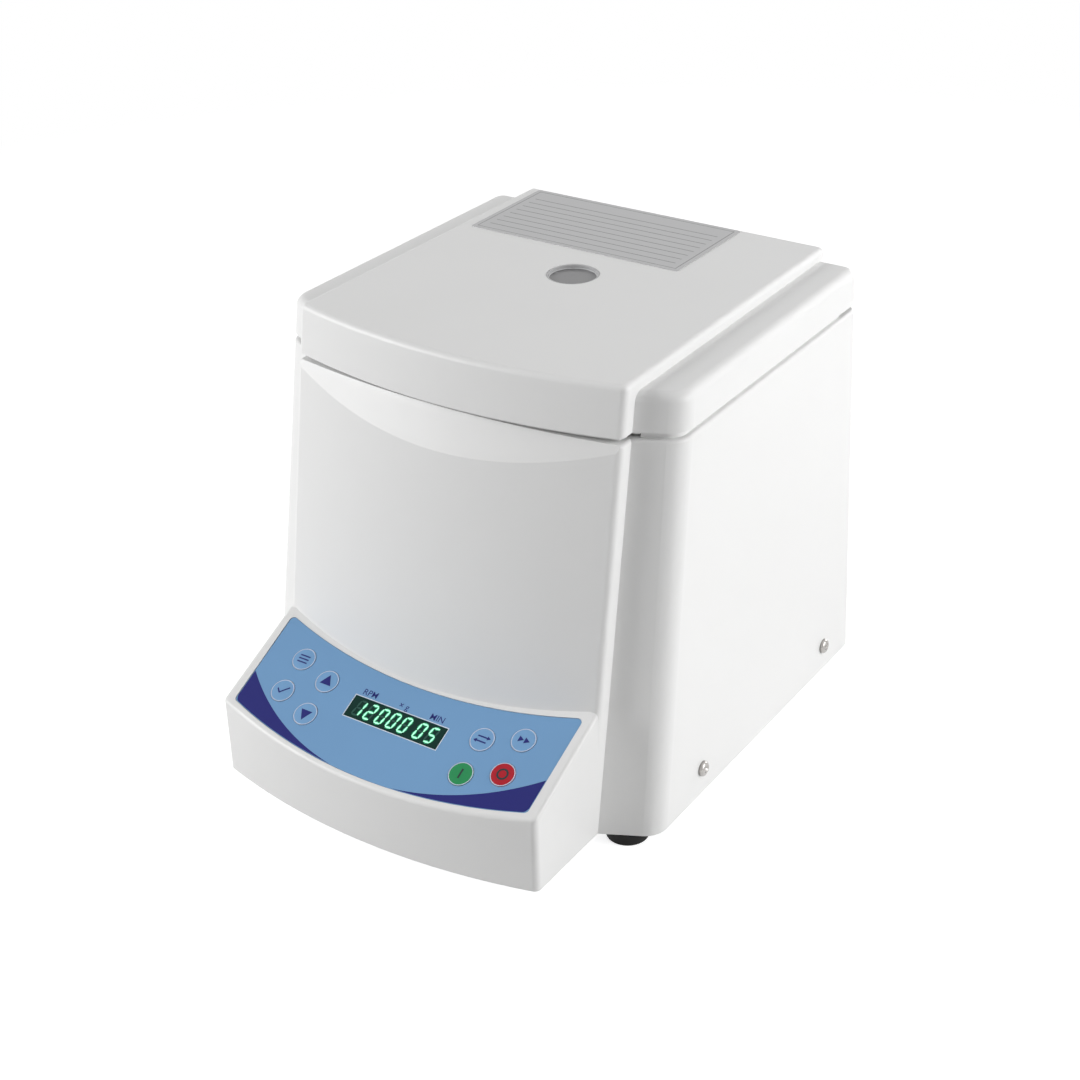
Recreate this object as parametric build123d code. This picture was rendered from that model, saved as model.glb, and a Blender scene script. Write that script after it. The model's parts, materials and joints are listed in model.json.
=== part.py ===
from build123d import *
import os
from math import cos, radians, sin, sqrt, tan

os.makedirs("parts", exist_ok=True)

# A bench centrifuge for capillary tubes. Millimetres, +Z up, the front faces -Y.
# The origin is the point on the bench straight below the rotor's axis.

# Heights above the bench
foot_height = 8.0
body_top = 244.5
lid_gap = 4.0
lid_shoulder_height = 22.0
lid_crown_step = 7.0

# Plan of the housing
rear_y = 112.5
centre_half_rear = 108.2
shoulder_half_rear = 133.4
plan_taper = 0.016
side_draft = 0.0275
front_corner_y = -123.5
step_depth = 10.0
shoulder_sweep_deg = 27.0
front_lean = 0.168
bow_radius_top = 410.0
bow_radius_base = 345.0

# Walls, corners and edges of the mouldings
wall = 3.0
shoulder_corner_radius = 15.0
centre_corner_radius = 4.5
rear_corner_radius = 8.0
lid_edge_radius = 6.0
lid_crown_edge_radius = 3.5
body_edge_radius = 2.0

# Lip that stands on the deck just inside the lid's skirt, along the shoulders
lip_rise = 4.8
lip_wall = 2.0
lip_gap = 0.6
lip_rear_gap = 20.0
lip_step_gap = 6.0

# Console
console_corner_y = -216.0
console_front_top = 57.2
console_slope_deg = 26.5
console_edge_radius = 2.5

# Finger scoop under the lid's front edge
scoop_drop = 22.5
scoop_slope = 0.446
scoop_bow_radius = 603.0

# Overlay on the console, in the panel's own plane: x across, s up the slope
overlay_half_width = 106.0
overlay_low_s = 2.9
overlay_high_s = 67.2
overlay_bow_radius = 339.0
overlay_corner_radius = 3.0
overlay_thickness = 0.8
overlay_recess = 1.2
overlay_clearance = 0.3
display_half_width = 33.5
display_low_s = 18.2
display_high_s = 32.8
display_pane_thickness = 0.9
display_clearance = 0.15
key_radius = 7.5
key_clearance = 0.3
key_low = -0.65
key_side_top = -0.2
key_crown_top = 0.25
key_travel = 0.5
key_places = {
    "key_menu": (-80.0, 42.3),
    "key_up": (-56.5, 34.0),
    "key_confirm": (-80.0, 18.7),
    "key_down": (-56.5, 10.1),
    "key_units": (56.5, 34.0),
    "key_short_spin": (80.0, 42.3),
    "key_start": (56.5, 10.1),
    "key_stop": (80.0, 18.7),
}
switch_hole_radius = 5.0
switch_size = 6.0
switch_button_radius = 1.75
board_depth = 9.0
board_thickness = 1.6
board_half_width = 98.0
board_low_s = 2.0
board_high_s = 46.0
board_boss_radius = 3.2

# Chamber and rotor
bowl_radius = 98.0
bowl_wall = 1.2
bowl_depth = 58.5
bowl_floor_radius = 8.0
bowl_flange_width = 4.8
bowl_hole_clearance = 0.6
bowl_neck_radius = 17.0
bowl_neck_height = 9.0
rotor_wall_gap = 4.0
rotor_floor_gap = 17.0
rotor_plate_thickness = 7.0
rotor_rim_height = 3.0
rotor_rim_width = 2.0
rotor_gasket_width = 1.5
rotor_hub_radius = 20.0
rotor_hub_depth = 5.0
slot_count = 24
slot_inner_radius = 18.0
slot_width = 2.4
slot_depth = 1.8
cover_thickness = 1.6
cover_lift = 0.3
knob_radius = 15.0
knob_height = 17.0
knob_flutes = 12
knob_flute_radius = 2.2

# Motor and its suspension
shaft_radius = 4.0
shaft_low_z = 49.0
running_clearance = 0.03
motor_radius = 46.0
motor_low_z = 46.0
motor_height = 84.0
motor_wall = 2.5
motor_cap_thickness = 6.0
stator_inner_radius = 27.0
stator_low_z = 66.0
stator_height = 46.0
armature_gap = 0.6
motor_plate_half = 72.0
motor_plate_thickness = 3.0
motor_plate_corner = 14.0
neck_radius = 14.5
neck_rise = 2.0
motor_screw_ring = 37.0
coil_height = 9.0
shaft_hole_gap = 2.5
press_gap = 0.01
bearing_radius = 11.0
bearing_height = 7.0
mount_offset = 60.0
mount_radius = 9.0
mount_height = 14.0
mount_waist = 1.6
post_radius = 6.0

# Small screws
screw_gap = 0.15
bowl_head_radius = 2.1
bowl_head_height = 1.1
bowl_shank_radius = 1.2
leaf_head_radius = 2.7
leaf_head_height = 1.3
leaf_shank_radius = 1.5
rear_shank_radius = 1.5
small_head_radius = 2.3
small_head_height = 1.5
small_shank_radius = 1.2
rear_head_radius = 2.9
rear_head_height = 1.8
machine_head_radius = 3.8
machine_head_height = 2.2
machine_shank_radius = 2.0
lid_head_radius = 2.2
lid_head_height = 1.4
lid_shank_radius = 1.2
liner_shank_radius = 1.5
seat_gap = 0.05

# Base plate, feet and screws
base_thickness = 2.0
base_lift = 1.0
base_clearance = 0.5
tab_width = 22.0
tab_height = 24.0
side_screw_z = 25.0
side_screw_front_y = -86.0
side_screw_rear_inset = 40.5
side_screw_head_radius = 4.75
side_screw_head_height = 2.6
side_screw_shank_radius = 2.0
foot_radius = 13.8
foot_taper = 1.2
foot_side_inset = 12.4
foot_front_reach = 11.0
foot_rear_inset = 18.5
foot_recess_radius = 4.5
foot_recess_depth = 4.0
foot_spigot_radius = 8.0
foot_gap = 0.4

# Lid fittings
liner_thickness = 3.5
liner_drop = 2.5
liner_side_clearance = 0.5
liner_rear_gap = 8.0
liner_tube_inner = 19.7
liner_tube_wall = 2.0
liner_tube_gap = 0.5
liner_hole_radius = 16.7
liner_boss_radius = 4.5
liner_boss_x = 98.0
liner_boss_front_y = -84.0
liner_boss_rear_inset = 22.5
window_centre_y = 0.0
window_radius = 16.2
window_boss_radius = 19.7
window_boss_depth = 5.5
bezel_fit = 0.15
bezel_wall = 1.2
bezel_ledge = 1.4
bezel_depth = 6.5
lens_thickness = 2.0
lens_seat = 2.2
label_left_x = -99.5
label_right_x = 51.5
label_depth = 76.5
label_rear_margin = 1.5
label_thickness = 0.4
label_corner_radius = 1.5
seal_clearance = 0.3
seal_width = 3.6

# Hinges
hinge_inset = 3.5
hinge_rise = 1.5
hinge_x = 75.0
hinge_width = 36.0
barrel_radius = 3.5
pin_radius = 1.6
pin_fit = 0.04
barrel_end_width = 10.0
barrel_gap = 0.5
leaf_thickness = 1.5
leaf_reach = 20.0
leaf_lid_drop = 9.5
notch_margin = 1.0
leaf_recess = 1.2
leaf_screw_x = 11.0
leaf_screw_y = 5.5
lid_leaf_gap = 0.15
lid_leaf_screw_x = 12.0

# Latch behind the front wall
striker_inset = 5.5
striker_half_width = 7.0
striker_wire_radius = 1.5
striker_drop = 18.5
striker_bend = 3.0
striker_plate = (24.0, 11.0, 1.5)
deck_slot = (22.0, 14.0)
latch_half_gap = 11.5
latch_sheet = 1.5
latch_depth = 60.5
latch_front_reach = 8.0
latch_rear_reach = 14.5
ear_reach = 4.5
ear_inset = 5.0
pawl_half_thickness = 2.5
pawl_pivot_reach = 7.0
pawl_pivot_drop = 31.5
pawl_release_deg = 22.0
pawl_pin_radius = 2.0
solenoid_length = 16.5
solenoid_half = 9.0
solenoid_drop = 18.0
plunger_length = 18.0
plunger_radius = 3.0
plunger_gap = 0.4
switch_x = 34.0
lid_switch_size = (7.0, 20.0, 14.0)
lid_switch_top_gap = 0.3
presser_radius = 1.8
presser_hole_radius = 3.6
lid_button_radius = 1.5
lid_button_height = 3.0
lid_button_travel = 1.5
lid_button_gap = 0.1
lid_button_hidden = 3.0
presser_gap = 0.3

# Rear panel
rear_panel_half_width = 96.0
rear_panel_low_z = 26.0
rear_panel_high_z = 124.0
rear_panel_thickness = 1.5
rear_panel_lap = 6.0
rear_panel_clearance = 0.4
rear_vent_slots = 11
rear_vent_pitch = 7.0
rear_vent_width = 3.0
rear_vent_height = 46.0
rear_vent_x = -46.0
rear_vent_z = 76.0
inlet_x = 62.0
inlet_z = 52.0
inlet_flange = (50.0, 38.0, 2.5)
inlet_body = (29.0, 32.0, 22.0)
inlet_socket = (23.0, 15.5, 17.0)
inlet_screw_x = 20.0
socket_drop = 6.0
fuse_drawer_size = (24.0, 6.5, 18.0)
fuse_lip = (10.0, 3.0, 1.6)
fuse_rise = 10.0
fuse_clearance = 0.3
rocker_x = 62.0
rocker_z = 92.0
rocker_frame = (31.0, 28.0, 2.0)
rocker_body = (27.0, 24.0, 18.0)
rocker_cavity = (21.0, 20.4, 9.0)
rocker_half_width = 10.2
rocker_half_height = 8.5
rocker_throw_deg = 20.0
rocker_pivot_depth = 3.0
rocker_stub_radius = 1.2
rocker_stub_length = 1.2
rocker_stub_gap = 0.05

# Boards and transformer on the base plate
power_board_size = (56.0, 120.0)
power_board_centre = (-96.0, -8.0)
board_standoff = 8.0
standoff_radius = 3.0
transformer_size = (46.0, 58.0, 48.0)
transformer_centre = (98.0, 4.0)
heat_sink_size = (14.4, 50.0, 32.0)
heat_sink_gaps = 4
heat_sink_fin = 1.6
heat_sink_foot = 6.0

# Sizes worked out from the ones above
body_low = foot_height
lid_low = body_top + lid_gap
lid_shoulder_top = lid_low + lid_shoulder_height
lid_top = lid_shoulder_top + lid_crown_step
deck_under = body_top - wall
scoop_low_z = body_top - scoop_drop
bowl_floor_z = body_top - bowl_depth
rotor_low_z = bowl_floor_z + rotor_floor_gap
rotor_radius = bowl_radius - rotor_wall_gap
side_screw_y = (side_screw_front_y, rear_y - side_screw_rear_inset)
foot_x = shoulder_half_rear - foot_side_inset
foot_front_y = front_corner_y - foot_front_reach
foot_rear_y = rear_y - foot_rear_inset
liner_rear_y = rear_y - liner_rear_gap
liner_boss_y = (liner_boss_front_y, rear_y - liner_boss_rear_inset)
label_rear_y = rear_y - label_rear_margin
label_front_y = label_rear_y - label_depth
hinge_y = rear_y - hinge_inset
hinge_z = lid_low + hinge_rise
leaf_front_y = hinge_y - leaf_reach
leaf_lid_high_z = lid_top - leaf_lid_drop
striker_y = front_corner_y + striker_inset
striker_low_z = body_top - striker_drop
latch_low_z = body_top - latch_depth
latch_front_y = striker_y - latch_front_reach
latch_rear_y = striker_y + latch_rear_reach
pawl_pivot = (striker_y + pawl_pivot_reach, body_top - pawl_pivot_drop)
liner_low = lid_low - liner_drop
liner_top = liner_low + liner_thickness
sweep_rise = tan(radians(shoulder_sweep_deg))
base_top = body_low + base_lift + base_thickness
motor_plate_low = motor_low_z + motor_height + motor_cap_thickness
motor_plate_top = motor_plate_low + motor_plate_thickness
console_plane = Plane(
    origin=(0, console_corner_y, console_front_top),
    x_dir=(1, 0, 0),
    z_dir=(0, -sin(radians(console_slope_deg)), cos(radians(console_slope_deg))),
)


def save(node, *solids):
    """Write the node's solids as one STEP file."""
    shape = solids[0] if len(solids) == 1 else Compound(children=list(solids))
    export_step(shape, "parts/" + node + ".step")


def box(low, high):
    """A box between two opposite corners."""
    size = [b - a for a, b in zip(low, high)]
    middle = [(a + b) / 2 for a, b in zip(low, high)]
    return Pos(*middle) * Box(*size)


def disc(x, y, low, high, radius):
    """An upright cylinder between two heights."""
    return Pos(x, y, (low + high) / 2) * Cylinder(radius, high - low)


def ring(x, y, low, high, outer, inner):
    """An upright tube between two heights."""
    return disc(x, y, low, high, outer) - disc(x, y, low - 1, high + 1, inner)


def bar_x(x_low, x_high, y, z, radius):
    """A cylinder that lies along X."""
    return Pos((x_low + x_high) / 2, y, z) * Rot(0, 90, 0) * Cylinder(radius, x_high - x_low)


def bar_y(x, y_low, y_high, z, radius):
    """A cylinder that lies along Y."""
    return Pos(x, (y_low + y_high) / 2, z) * Rot(90, 0, 0) * Cylinder(radius, y_high - y_low)


def outward_block(x, z, face_y, size):
    """A block of a width, a height and a depth, with its outer face at a Y."""
    return Pos(x, face_y - size[2] / 2, z) * Box(size[0], size[2], size[1])


def both_sides(solid):
    """The solid and its mirror image across the middle plane."""
    return [solid, mirror(solid, about=Plane.YZ)]


# The housing's walls, as planes and arcs that the body and the lid share


def front_y(z):
    """Front corner of the centre block at a height."""
    return front_corner_y - front_lean * (body_top - z)


def centre_x(y):
    """Half width of the centre block and the console at a depth."""
    return centre_half_rear + plan_taper * (rear_y - y)


def shoulder_corner(z):
    """Where a shoulder's front face meets the side wall at a height."""
    half_at_rear = shoulder_half_rear + side_draft * (body_top - z)
    inner_y = front_y(z) + step_depth
    inner_x = centre_x(inner_y)
    top = half_at_rear + plan_taper * (rear_y - inner_y + sweep_rise * inner_x)
    x = top / (1 + plan_taper * sweep_rise)
    return x, inner_y + sweep_rise * (x - inner_x)


def inset_corners(points, inset):
    """Corners of a closed outline, each edge moved inward by the inset."""
    moved = []
    for i, here in enumerate(points):
        into = (here - points[i - 1]).normalized()
        out = (points[(i + 1) % len(points)] - here).normalized()
        normals = Vector(-into.Y - out.Y, into.X + out.X)
        moved.append(here + normals * (inset / (1 + into.dot(out))))
    return moved


def rounded(face, corners):
    """The face with each given corner, a point and a radius, rounded."""
    for point, radius in corners:
        near = face.vertices().sort_by_distance(point)[0]
        face = fillet(near, radius)
    return face


def shoulder_face(z, inset=0.0):
    """Plan of the two shoulders at a height."""
    inner_y = front_y(z) + step_depth
    inner_x = centre_x(inner_y)
    outer_x, outer_y = shoulder_corner(z)
    rear_x = shoulder_half_rear + side_draft * (body_top - z)
    right = [(inner_x, inner_y), (outer_x, outer_y), (rear_x, rear_y)]
    points = [Vector(x, y) for x, y in right] + [Vector(-x, y) for x, y in reversed(right)]
    points = inset_corners(points, inset)
    face = make_face(Polyline(*points, close=True))
    radius = shoulder_corner_radius - inset
    rear_radius = max(rear_corner_radius - inset, 0.3)
    corners = [(points[1], radius), (points[4], radius), (points[2], rear_radius), (points[3], rear_radius)]
    return Pos(0, 0, z) * rounded(face, corners)


def bowed_face(corner_y, bow_radius, z, inset=0.0, back_y=None):
    """Plan of the centre block or the console at a height, with its bowed front."""
    back = rear_y if back_y is None else back_y
    arc_centre = corner_y + sqrt(bow_radius**2 - centre_x(corner_y) ** 2)
    radius = bow_radius - inset
    front_x = centre_x(corner_y) - inset
    front = arc_centre - sqrt(radius**2 - front_x**2)
    rear = back - inset if back_y is None else back
    rear_x = centre_x(rear) - inset
    arc = ThreePointArc((-front_x, front), (0, arc_centre - radius), (front_x, front))
    sides = Polyline((front_x, front), (rear_x, rear), (-rear_x, rear), (-front_x, front))
    face = make_face(arc + sides)
    corner_radius = max(centre_corner_radius - inset, 0.5)
    corners = [(Vector(front_x, front), corner_radius), (Vector(-front_x, front), corner_radius)]
    return Pos(0, 0, z) * rounded(face, corners)


def bow_radius_at(z):
    """The bow of the front wall at a height: flatter at the top than at the base."""
    share = (body_top - z) / (body_top - body_low)
    return bow_radius_top + share * (bow_radius_base - bow_radius_top)


def shoulder_block(low, high, inset=0.0):
    """The full-width block of the housing between two heights."""
    return loft([shoulder_face(low, inset), shoulder_face(high, inset)], ruled=True)


def centre_block(low, high, inset=0.0):
    """The bowed centre block of the housing between two heights."""
    faces = [bowed_face(front_y(z), bow_radius_at(z), z, inset) for z in (low, high)]
    return loft(faces, ruled=True)


def top_edges(solid, height, rear_limit):
    """Edges of the top face, without the one along the rear wall."""
    edges = solid.edges().filter_by(lambda e: abs(e.bounding_box().min.Z - height) < 0.01)
    return edges.filter_by(lambda e: e.center().Y < rear_limit)


def console_block(inset=0.0):
    """The console: a bowed block cut off by the sloping panel."""
    back_y = front_y(body_low) + wall * 4
    low = body_low - (1 if inset else 0)
    face = bowed_face(console_corner_y, bow_radius_top, low, inset, back_y)
    block = extrude(face, console_front_top * 2)
    above = console_plane * Pos(0, 0, 200 - inset) * Box(600, 600, 400)
    block = block - above
    if inset:
        return block
    rim = block.edges().filter_by(lambda e: e.center().Y < console_corner_y + 2)
    rim = rim.filter_by(lambda e: e.bounding_box().max.Z > body_low + 1 and e.length > 100)
    return fillet(rim, console_edge_radius)


def scoop_cutter():
    """What the finger scoop takes away: everything in front of a sloping, flatter bow."""
    corner_y = front_y(scoop_low_z)
    wall_bow = bow_radius_at(scoop_low_z)
    middle_y = corner_y + sqrt(wall_bow**2 - centre_x(corner_y) ** 2) - wall_bow
    half = centre_half_rear * 1.4
    bow = scoop_bow_radius - sqrt(scoop_bow_radius**2 - half**2)
    faces = []
    for z in (scoop_low_z - wall * 3, lid_top):
        y = middle_y + scoop_slope * (z - scoop_low_z)
        arc = ThreePointArc((-half, y + bow), (0, y), (half, y + bow))
        front = console_corner_y
        sides = Polyline((half, y + bow), (half, front), (-half, front), (-half, y + bow))
        faces.append(Pos(0, 0, z) * make_face(arc + sides))
    return loft(faces, ruled=True)


def housing_outside():
    """The body housing before it is hollowed."""
    shoulders = shoulder_block(body_low, body_top)
    shoulders = fillet(top_edges(shoulders, body_top, rear_y - 1), body_edge_radius)
    centre = centre_block(body_low, body_top)
    centre = fillet(top_edges(centre, body_top, rear_y - 1), body_edge_radius)
    return shoulders + centre + console_block() - scoop_cutter()


def housing_void():
    """The hollow inside the body housing, open at the bottom."""
    low = body_low - 1
    void = shoulder_block(low, deck_under, wall) + centre_block(low, deck_under, wall)
    return void + console_block(wall) - Pos(0, wall, 0) * scoop_cutter()


def shoulder_rim(side, low, high, outer, inner, reach=0.0):
    """One shoulder between two insets from its outline, round its front and its side."""
    rim = shoulder_block(low, high, outer) - shoulder_block(low - 1, high + 1, inner)
    inner_x = side * (centre_half_rear + lip_step_gap - reach)
    low_x, high_x = sorted((inner_x, side * (shoulder_half_rear + wall)))
    high_y = rear_y - lip_rear_gap + reach
    return rim & box((low_x, front_corner_y, low - 1), (high_x, high_y, high + 1))


def on_panel(x, s, depth=0.0):
    """A place on the console's sloping panel, at a depth below its face."""
    return console_plane * Pos(x, s, -depth)


def panel_band(half_width, low_s, high_s, bow_radius, corner, top, bottom):
    """A bowed band on the panel between two heights over its face."""
    sag = bow_radius - sqrt(bow_radius**2 - half_width**2)
    lower = ThreePointArc((-half_width, low_s), (0, low_s - sag), (half_width, low_s))
    right = Line((half_width, low_s), (half_width, high_s))
    upper = ThreePointArc((half_width, high_s), (0, high_s - sag), (-half_width, high_s))
    left = Line((-half_width, high_s), (-half_width, low_s))
    face = make_face(lower + right + upper + left)
    if corner:
        face = fillet(face.vertices(), corner)
    return console_plane * (Pos(0, 0, bottom) * extrude(face, top - bottom))


def screw(place, head_radius, head_height, shank_radius, length):
    """A dome-headed screw; its shank runs down the place's own -Z."""
    head = Pos(0, 0, head_height / 2) * Cylinder(head_radius, head_height)
    rim = head.edges().sort_by(Axis.Z)[-1]
    head = fillet(rim, head_height * 0.7)
    shank = Pos(0, 0, -length / 2) * Cylinder(shank_radius, length)
    return place * (head + shank)


def flat_screw(place, head_radius, head_height, shank_radius, length):
    """A countersunk screw whose head top lies in the place's own plane."""
    head = Pos(0, 0, -head_height / 2) * Cone(shank_radius, head_radius, head_height)
    shank = Pos(0, 0, -length / 2) * Cylinder(shank_radius, length)
    return place * (head + shank)


def countersink(place, head_radius, head_height, shank_radius, length):
    """The room that a countersunk screw needs."""
    hole_radius = shank_radius + screw_gap
    mouth_radius = head_radius + screw_gap
    head = Pos(0, 0, -head_height / 2) * Cone(hole_radius, mouth_radius, head_height + 0.02)
    above = Pos(0, 0, 2) * Cylinder(mouth_radius, 4)
    shank = Pos(0, 0, -length / 2) * Cylinder(hole_radius, length)
    return place * (head + above + shank)


# Screws that hold the housing to the base plate, two on each side

side_places = []
for y in side_screw_y:
    x = shoulder_half_rear + side_draft * (body_top - side_screw_z) + plan_taper * (rear_y - y)
    wall_plane = Plane(origin=(x, y, side_screw_z), z_dir=(1, plan_taper, side_draft))
    side_places.append(wall_plane.location)
side_holes = []
for place in side_places:
    side_holes += both_sides(place * Cylinder(side_screw_shank_radius + screw_gap, wall * 6))
side_screws = []
for place in side_places:
    seat = place * Pos(0, 0, 0.05)
    solid = screw(seat, side_screw_head_radius, side_screw_head_height, side_screw_shank_radius, 9)
    side_screws += both_sides(solid)

# Places of the fasteners through the deck

bowl_hole_radius = bowl_radius + bowl_wall + bowl_hole_clearance
bowl_flange_radius = bowl_radius + bowl_wall + bowl_flange_width
bowl_screw_radius = bowl_flange_radius - 2.3
bowl_screw_places = []
for i in range(6):
    angle = radians(60 * i)
    x = bowl_screw_radius * cos(angle)
    bowl_screw_places.append(Pos(x, bowl_screw_radius * sin(angle), body_top))
leaf_screw_places = []
leaf_top = body_top - leaf_recess + leaf_thickness
for side in (-1, 1):
    for dx in (-leaf_screw_x, leaf_screw_x):
        leaf_screw_places.append(Pos(side * hinge_x + dx, leaf_front_y + leaf_screw_y, leaf_top))

# Body housing

lip_outer = wall + lip_gap
lip_inner = lip_outer + lip_wall
housing = housing_outside() - housing_void()
for side in (-1, 1):
    housing += shoulder_rim(side, body_top - 0.5, body_top + lip_rise, lip_outer, lip_inner)
housing -= disc(0, 0, deck_under - 5, body_top + 5, bowl_hole_radius)
housing -= disc(0, 0, body_top - bowl_wall, body_top + 5, bowl_flange_radius + liner_side_clearance)
housing -= Pos(0, striker_y, body_top) * Box(deck_slot[0], deck_slot[1], wall * 4)
housing -= disc(switch_x, striker_y, deck_under - 1, body_top + 1, presser_hole_radius)
leaf_half = hinge_width / 2
for side in (-1, 1):
    low_x = side * hinge_x - leaf_half - liner_side_clearance
    high_x = side * hinge_x + leaf_half + liner_side_clearance
    pocket_front = leaf_front_y - liner_side_clearance
    housing -= box((low_x, pocket_front, body_top - leaf_recess), (high_x, rear_y + 1, body_top + 5))
for place in leaf_screw_places:
    housing -= place * Cylinder(leaf_shank_radius + screw_gap, wall * 6)
for place in bowl_screw_places:
    housing -= countersink(place, bowl_head_radius, bowl_head_height, bowl_shank_radius, wall * 6)
for hole in side_holes:
    housing -= hole
opening_half = rear_panel_half_width - rear_panel_lap
opening_low = (-opening_half, rear_y - wall * 2, rear_panel_low_z + rear_panel_lap)
housing -= box(opening_low, (opening_half, rear_y + 1, rear_panel_high_z - rear_panel_lap))
seat_half = rear_panel_half_width + rear_panel_clearance
seat_low = (-seat_half, rear_y - rear_panel_thickness, rear_panel_low_z - rear_panel_clearance)
housing -= box(seat_low, (seat_half, rear_y + 1, rear_panel_high_z + rear_panel_clearance))
rear_screw_places = []
for x in (-rear_panel_half_width + 3, rear_panel_half_width - 3):
    for z in (rear_panel_low_z + 3, rear_panel_high_z - 3):
        rear_screw_places.append(Pos(x, rear_y, z) * Rot(-90, 0, 0))
for place in rear_screw_places:
    housing -= place * Cylinder(rear_shank_radius + screw_gap, wall * 6)

for x in (-latch_half_gap - ear_reach, latch_half_gap + ear_reach):
    for y in (latch_front_y + ear_inset, latch_rear_y - ear_inset):
        housing -= disc(x, y, deck_under - 1, deck_under + 2.2, small_shank_radius + screw_gap)

# The recess for the overlay, and the openings below it
housing -= panel_band(
    overlay_half_width + overlay_clearance,
    overlay_low_s - overlay_clearance,
    overlay_high_s + overlay_clearance,
    overlay_bow_radius,
    overlay_corner_radius,
    5,
    -overlay_recess,
)
display_middle = (display_low_s + display_high_s) / 2
display_half_height = (display_high_s - display_low_s) / 2
display_hole = Box((display_half_width - 0.6) * 2, (display_half_height - 0.6) * 2, wall * 4)
housing -= on_panel(0, display_middle) * display_hole
for x, s in key_places.values():
    housing -= on_panel(x, s) * Cylinder(switch_hole_radius, wall * 4)

# Bosses under the panel for the keypad board
board_boss_places = [(x, s) for x in (-92, 92) for s in (6, 42)]
board_boss_places += [(x, s) for x in (-42, 42) for s in (8, 38)]
board_top = board_depth - board_thickness
boss_height = board_top - wall + 0.5
for x, s in board_boss_places:
    housing += on_panel(x, s, board_top - boss_height / 2) * Cylinder(board_boss_radius, boss_height)
for x, s in board_boss_places:
    housing -= on_panel(x, s, board_top) * Cylinder(small_shank_radius + screw_gap, 9)
save("body_housing", housing)

# Base plate with four bent-up tabs for the side screws

plate_inset = wall + base_clearance
plate_low = body_low + base_lift
plate = extrude(shoulder_face(base_top, plate_inset), -base_thickness)
plate_front = bowed_face(front_y(base_top), bow_radius_at(base_top), base_top, plate_inset)
plate += extrude(plate_front, -base_thickness)
console_back = front_y(body_low) + wall * 4
console_floor = bowed_face(console_corner_y, bow_radius_top, base_top, plate_inset, console_back)
plate += extrude(console_floor, -base_thickness)
for y in side_screw_y:
    tab_top = base_top + tab_height
    rear_half = shoulder_half_rear + side_draft * (body_top - tab_top)
    tab_x = rear_half + plan_taper * (rear_y - y - tab_width / 2) - wall - base_clearance
    tab = box((tab_x - base_thickness, y - tab_width / 2, plate_low), (tab_x, y + tab_width / 2, tab_top))
    for side in both_sides(tab):
        plate += side
for hole in side_holes:
    plate -= hole
foot_places = [(x, y) for x in (-foot_x, foot_x) for y in (foot_front_y, foot_rear_y)]
for x, y in foot_places:
    plate -= disc(x, y, plate_low - 1, base_top + 1, machine_shank_radius + screw_gap)
post_places = [(x, y) for x in (-mount_offset, mount_offset) for y in (-mount_offset, mount_offset)]
save("base_plate", plate)

# Rubber feet, with a spigot up to the base plate and a recess for the screw's head

feet = []
foot_screws = []
foot_top = body_low - foot_gap
for x, y in foot_places:
    foot = Pos(x, y, foot_top / 2) * Cone(foot_radius - foot_taper, foot_radius, foot_top)
    foot = fillet(foot.edges().sort_by(Axis.Z)[0], 0.8)
    foot += disc(x, y, foot_top - 1, plate_low, foot_spigot_radius)
    foot -= disc(x, y, -1, foot_recess_depth, foot_recess_radius)
    foot -= disc(x, y, 0, plate_low + 1, machine_shank_radius + screw_gap)
    feet.append(foot)
    seat = Pos(x, y, foot_recess_depth - seat_gap) * Rot(180, 0, 0)
    length = base_top + 3 - foot_recess_depth
    foot_screws.append(screw(seat, machine_head_radius, machine_head_height, machine_shank_radius, length))
save("rubber_feet", *feet)
save("side_screws", *side_screws)

# Chamber bowl

flange_low = body_top - bowl_wall
outer = disc(0, 0, bowl_floor_z, body_top, bowl_radius + bowl_wall)
outer = fillet(outer.edges().sort_by(Axis.Z)[0], bowl_floor_radius + bowl_wall)
inner = disc(0, 0, bowl_floor_z + bowl_wall, body_top + 20, bowl_radius)
inner = fillet(inner.edges().sort_by(Axis.Z)[0], bowl_floor_radius)
bowl = outer + disc(0, 0, flange_low, body_top, bowl_flange_radius) - inner
bowl += disc(0, 0, bowl_floor_z, bowl_floor_z + bowl_neck_height, bowl_neck_radius + bowl_wall)
bowl -= disc(0, 0, bowl_floor_z - 1, body_top + 1, bowl_neck_radius)
for place in bowl_screw_places:
    bowl -= countersink(place, bowl_head_radius, bowl_head_height, bowl_shank_radius, wall * 6)
save("chamber_bowl", bowl)
bowl_screws = []
for place in bowl_screw_places:
    bowl_screws.append(flat_screw(place, bowl_head_radius, bowl_head_height, bowl_shank_radius, 7))

# Motor: can, end cap with its neck, bearings, stator and armature

cap_low = motor_low_z + motor_height
neck_top = bowl_floor_z + neck_rise
can = ring(0, 0, motor_low_z, cap_low, motor_radius, motor_radius - motor_wall)
can += disc(0, 0, motor_low_z, motor_low_z + motor_wall, motor_radius)
bearing_boss_radius = bearing_radius + 3
lower_bearing_low = motor_low_z + motor_wall
bearing_boss_top = lower_bearing_low + bearing_height
can += ring(0, 0, lower_bearing_low - 0.5, bearing_boss_top, bearing_boss_radius, bearing_radius)
save("motor_can", can)
cap = disc(0, 0, cap_low, motor_plate_low, motor_radius) + disc(0, 0, cap_low, neck_top, neck_radius)
cap -= disc(0, 0, cap_low - 1, neck_top + 1, shaft_radius + 2.5)
upper_bearing_low = neck_top - bearing_height
cap -= disc(0, 0, upper_bearing_low, neck_top + 1, bearing_radius)
motor_screw_places = []
for i in range(4):
    angle = radians(45 + 90 * i)
    x = motor_screw_ring * cos(angle)
    motor_screw_places.append(Pos(x, motor_screw_ring * sin(angle), motor_plate_top))
for place in motor_screw_places:
    cap -= place * Cylinder(machine_shank_radius + screw_gap, 40)
save("motor_end_cap", cap)
bearing_bore = shaft_radius + running_clearance
bearings = []
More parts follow.
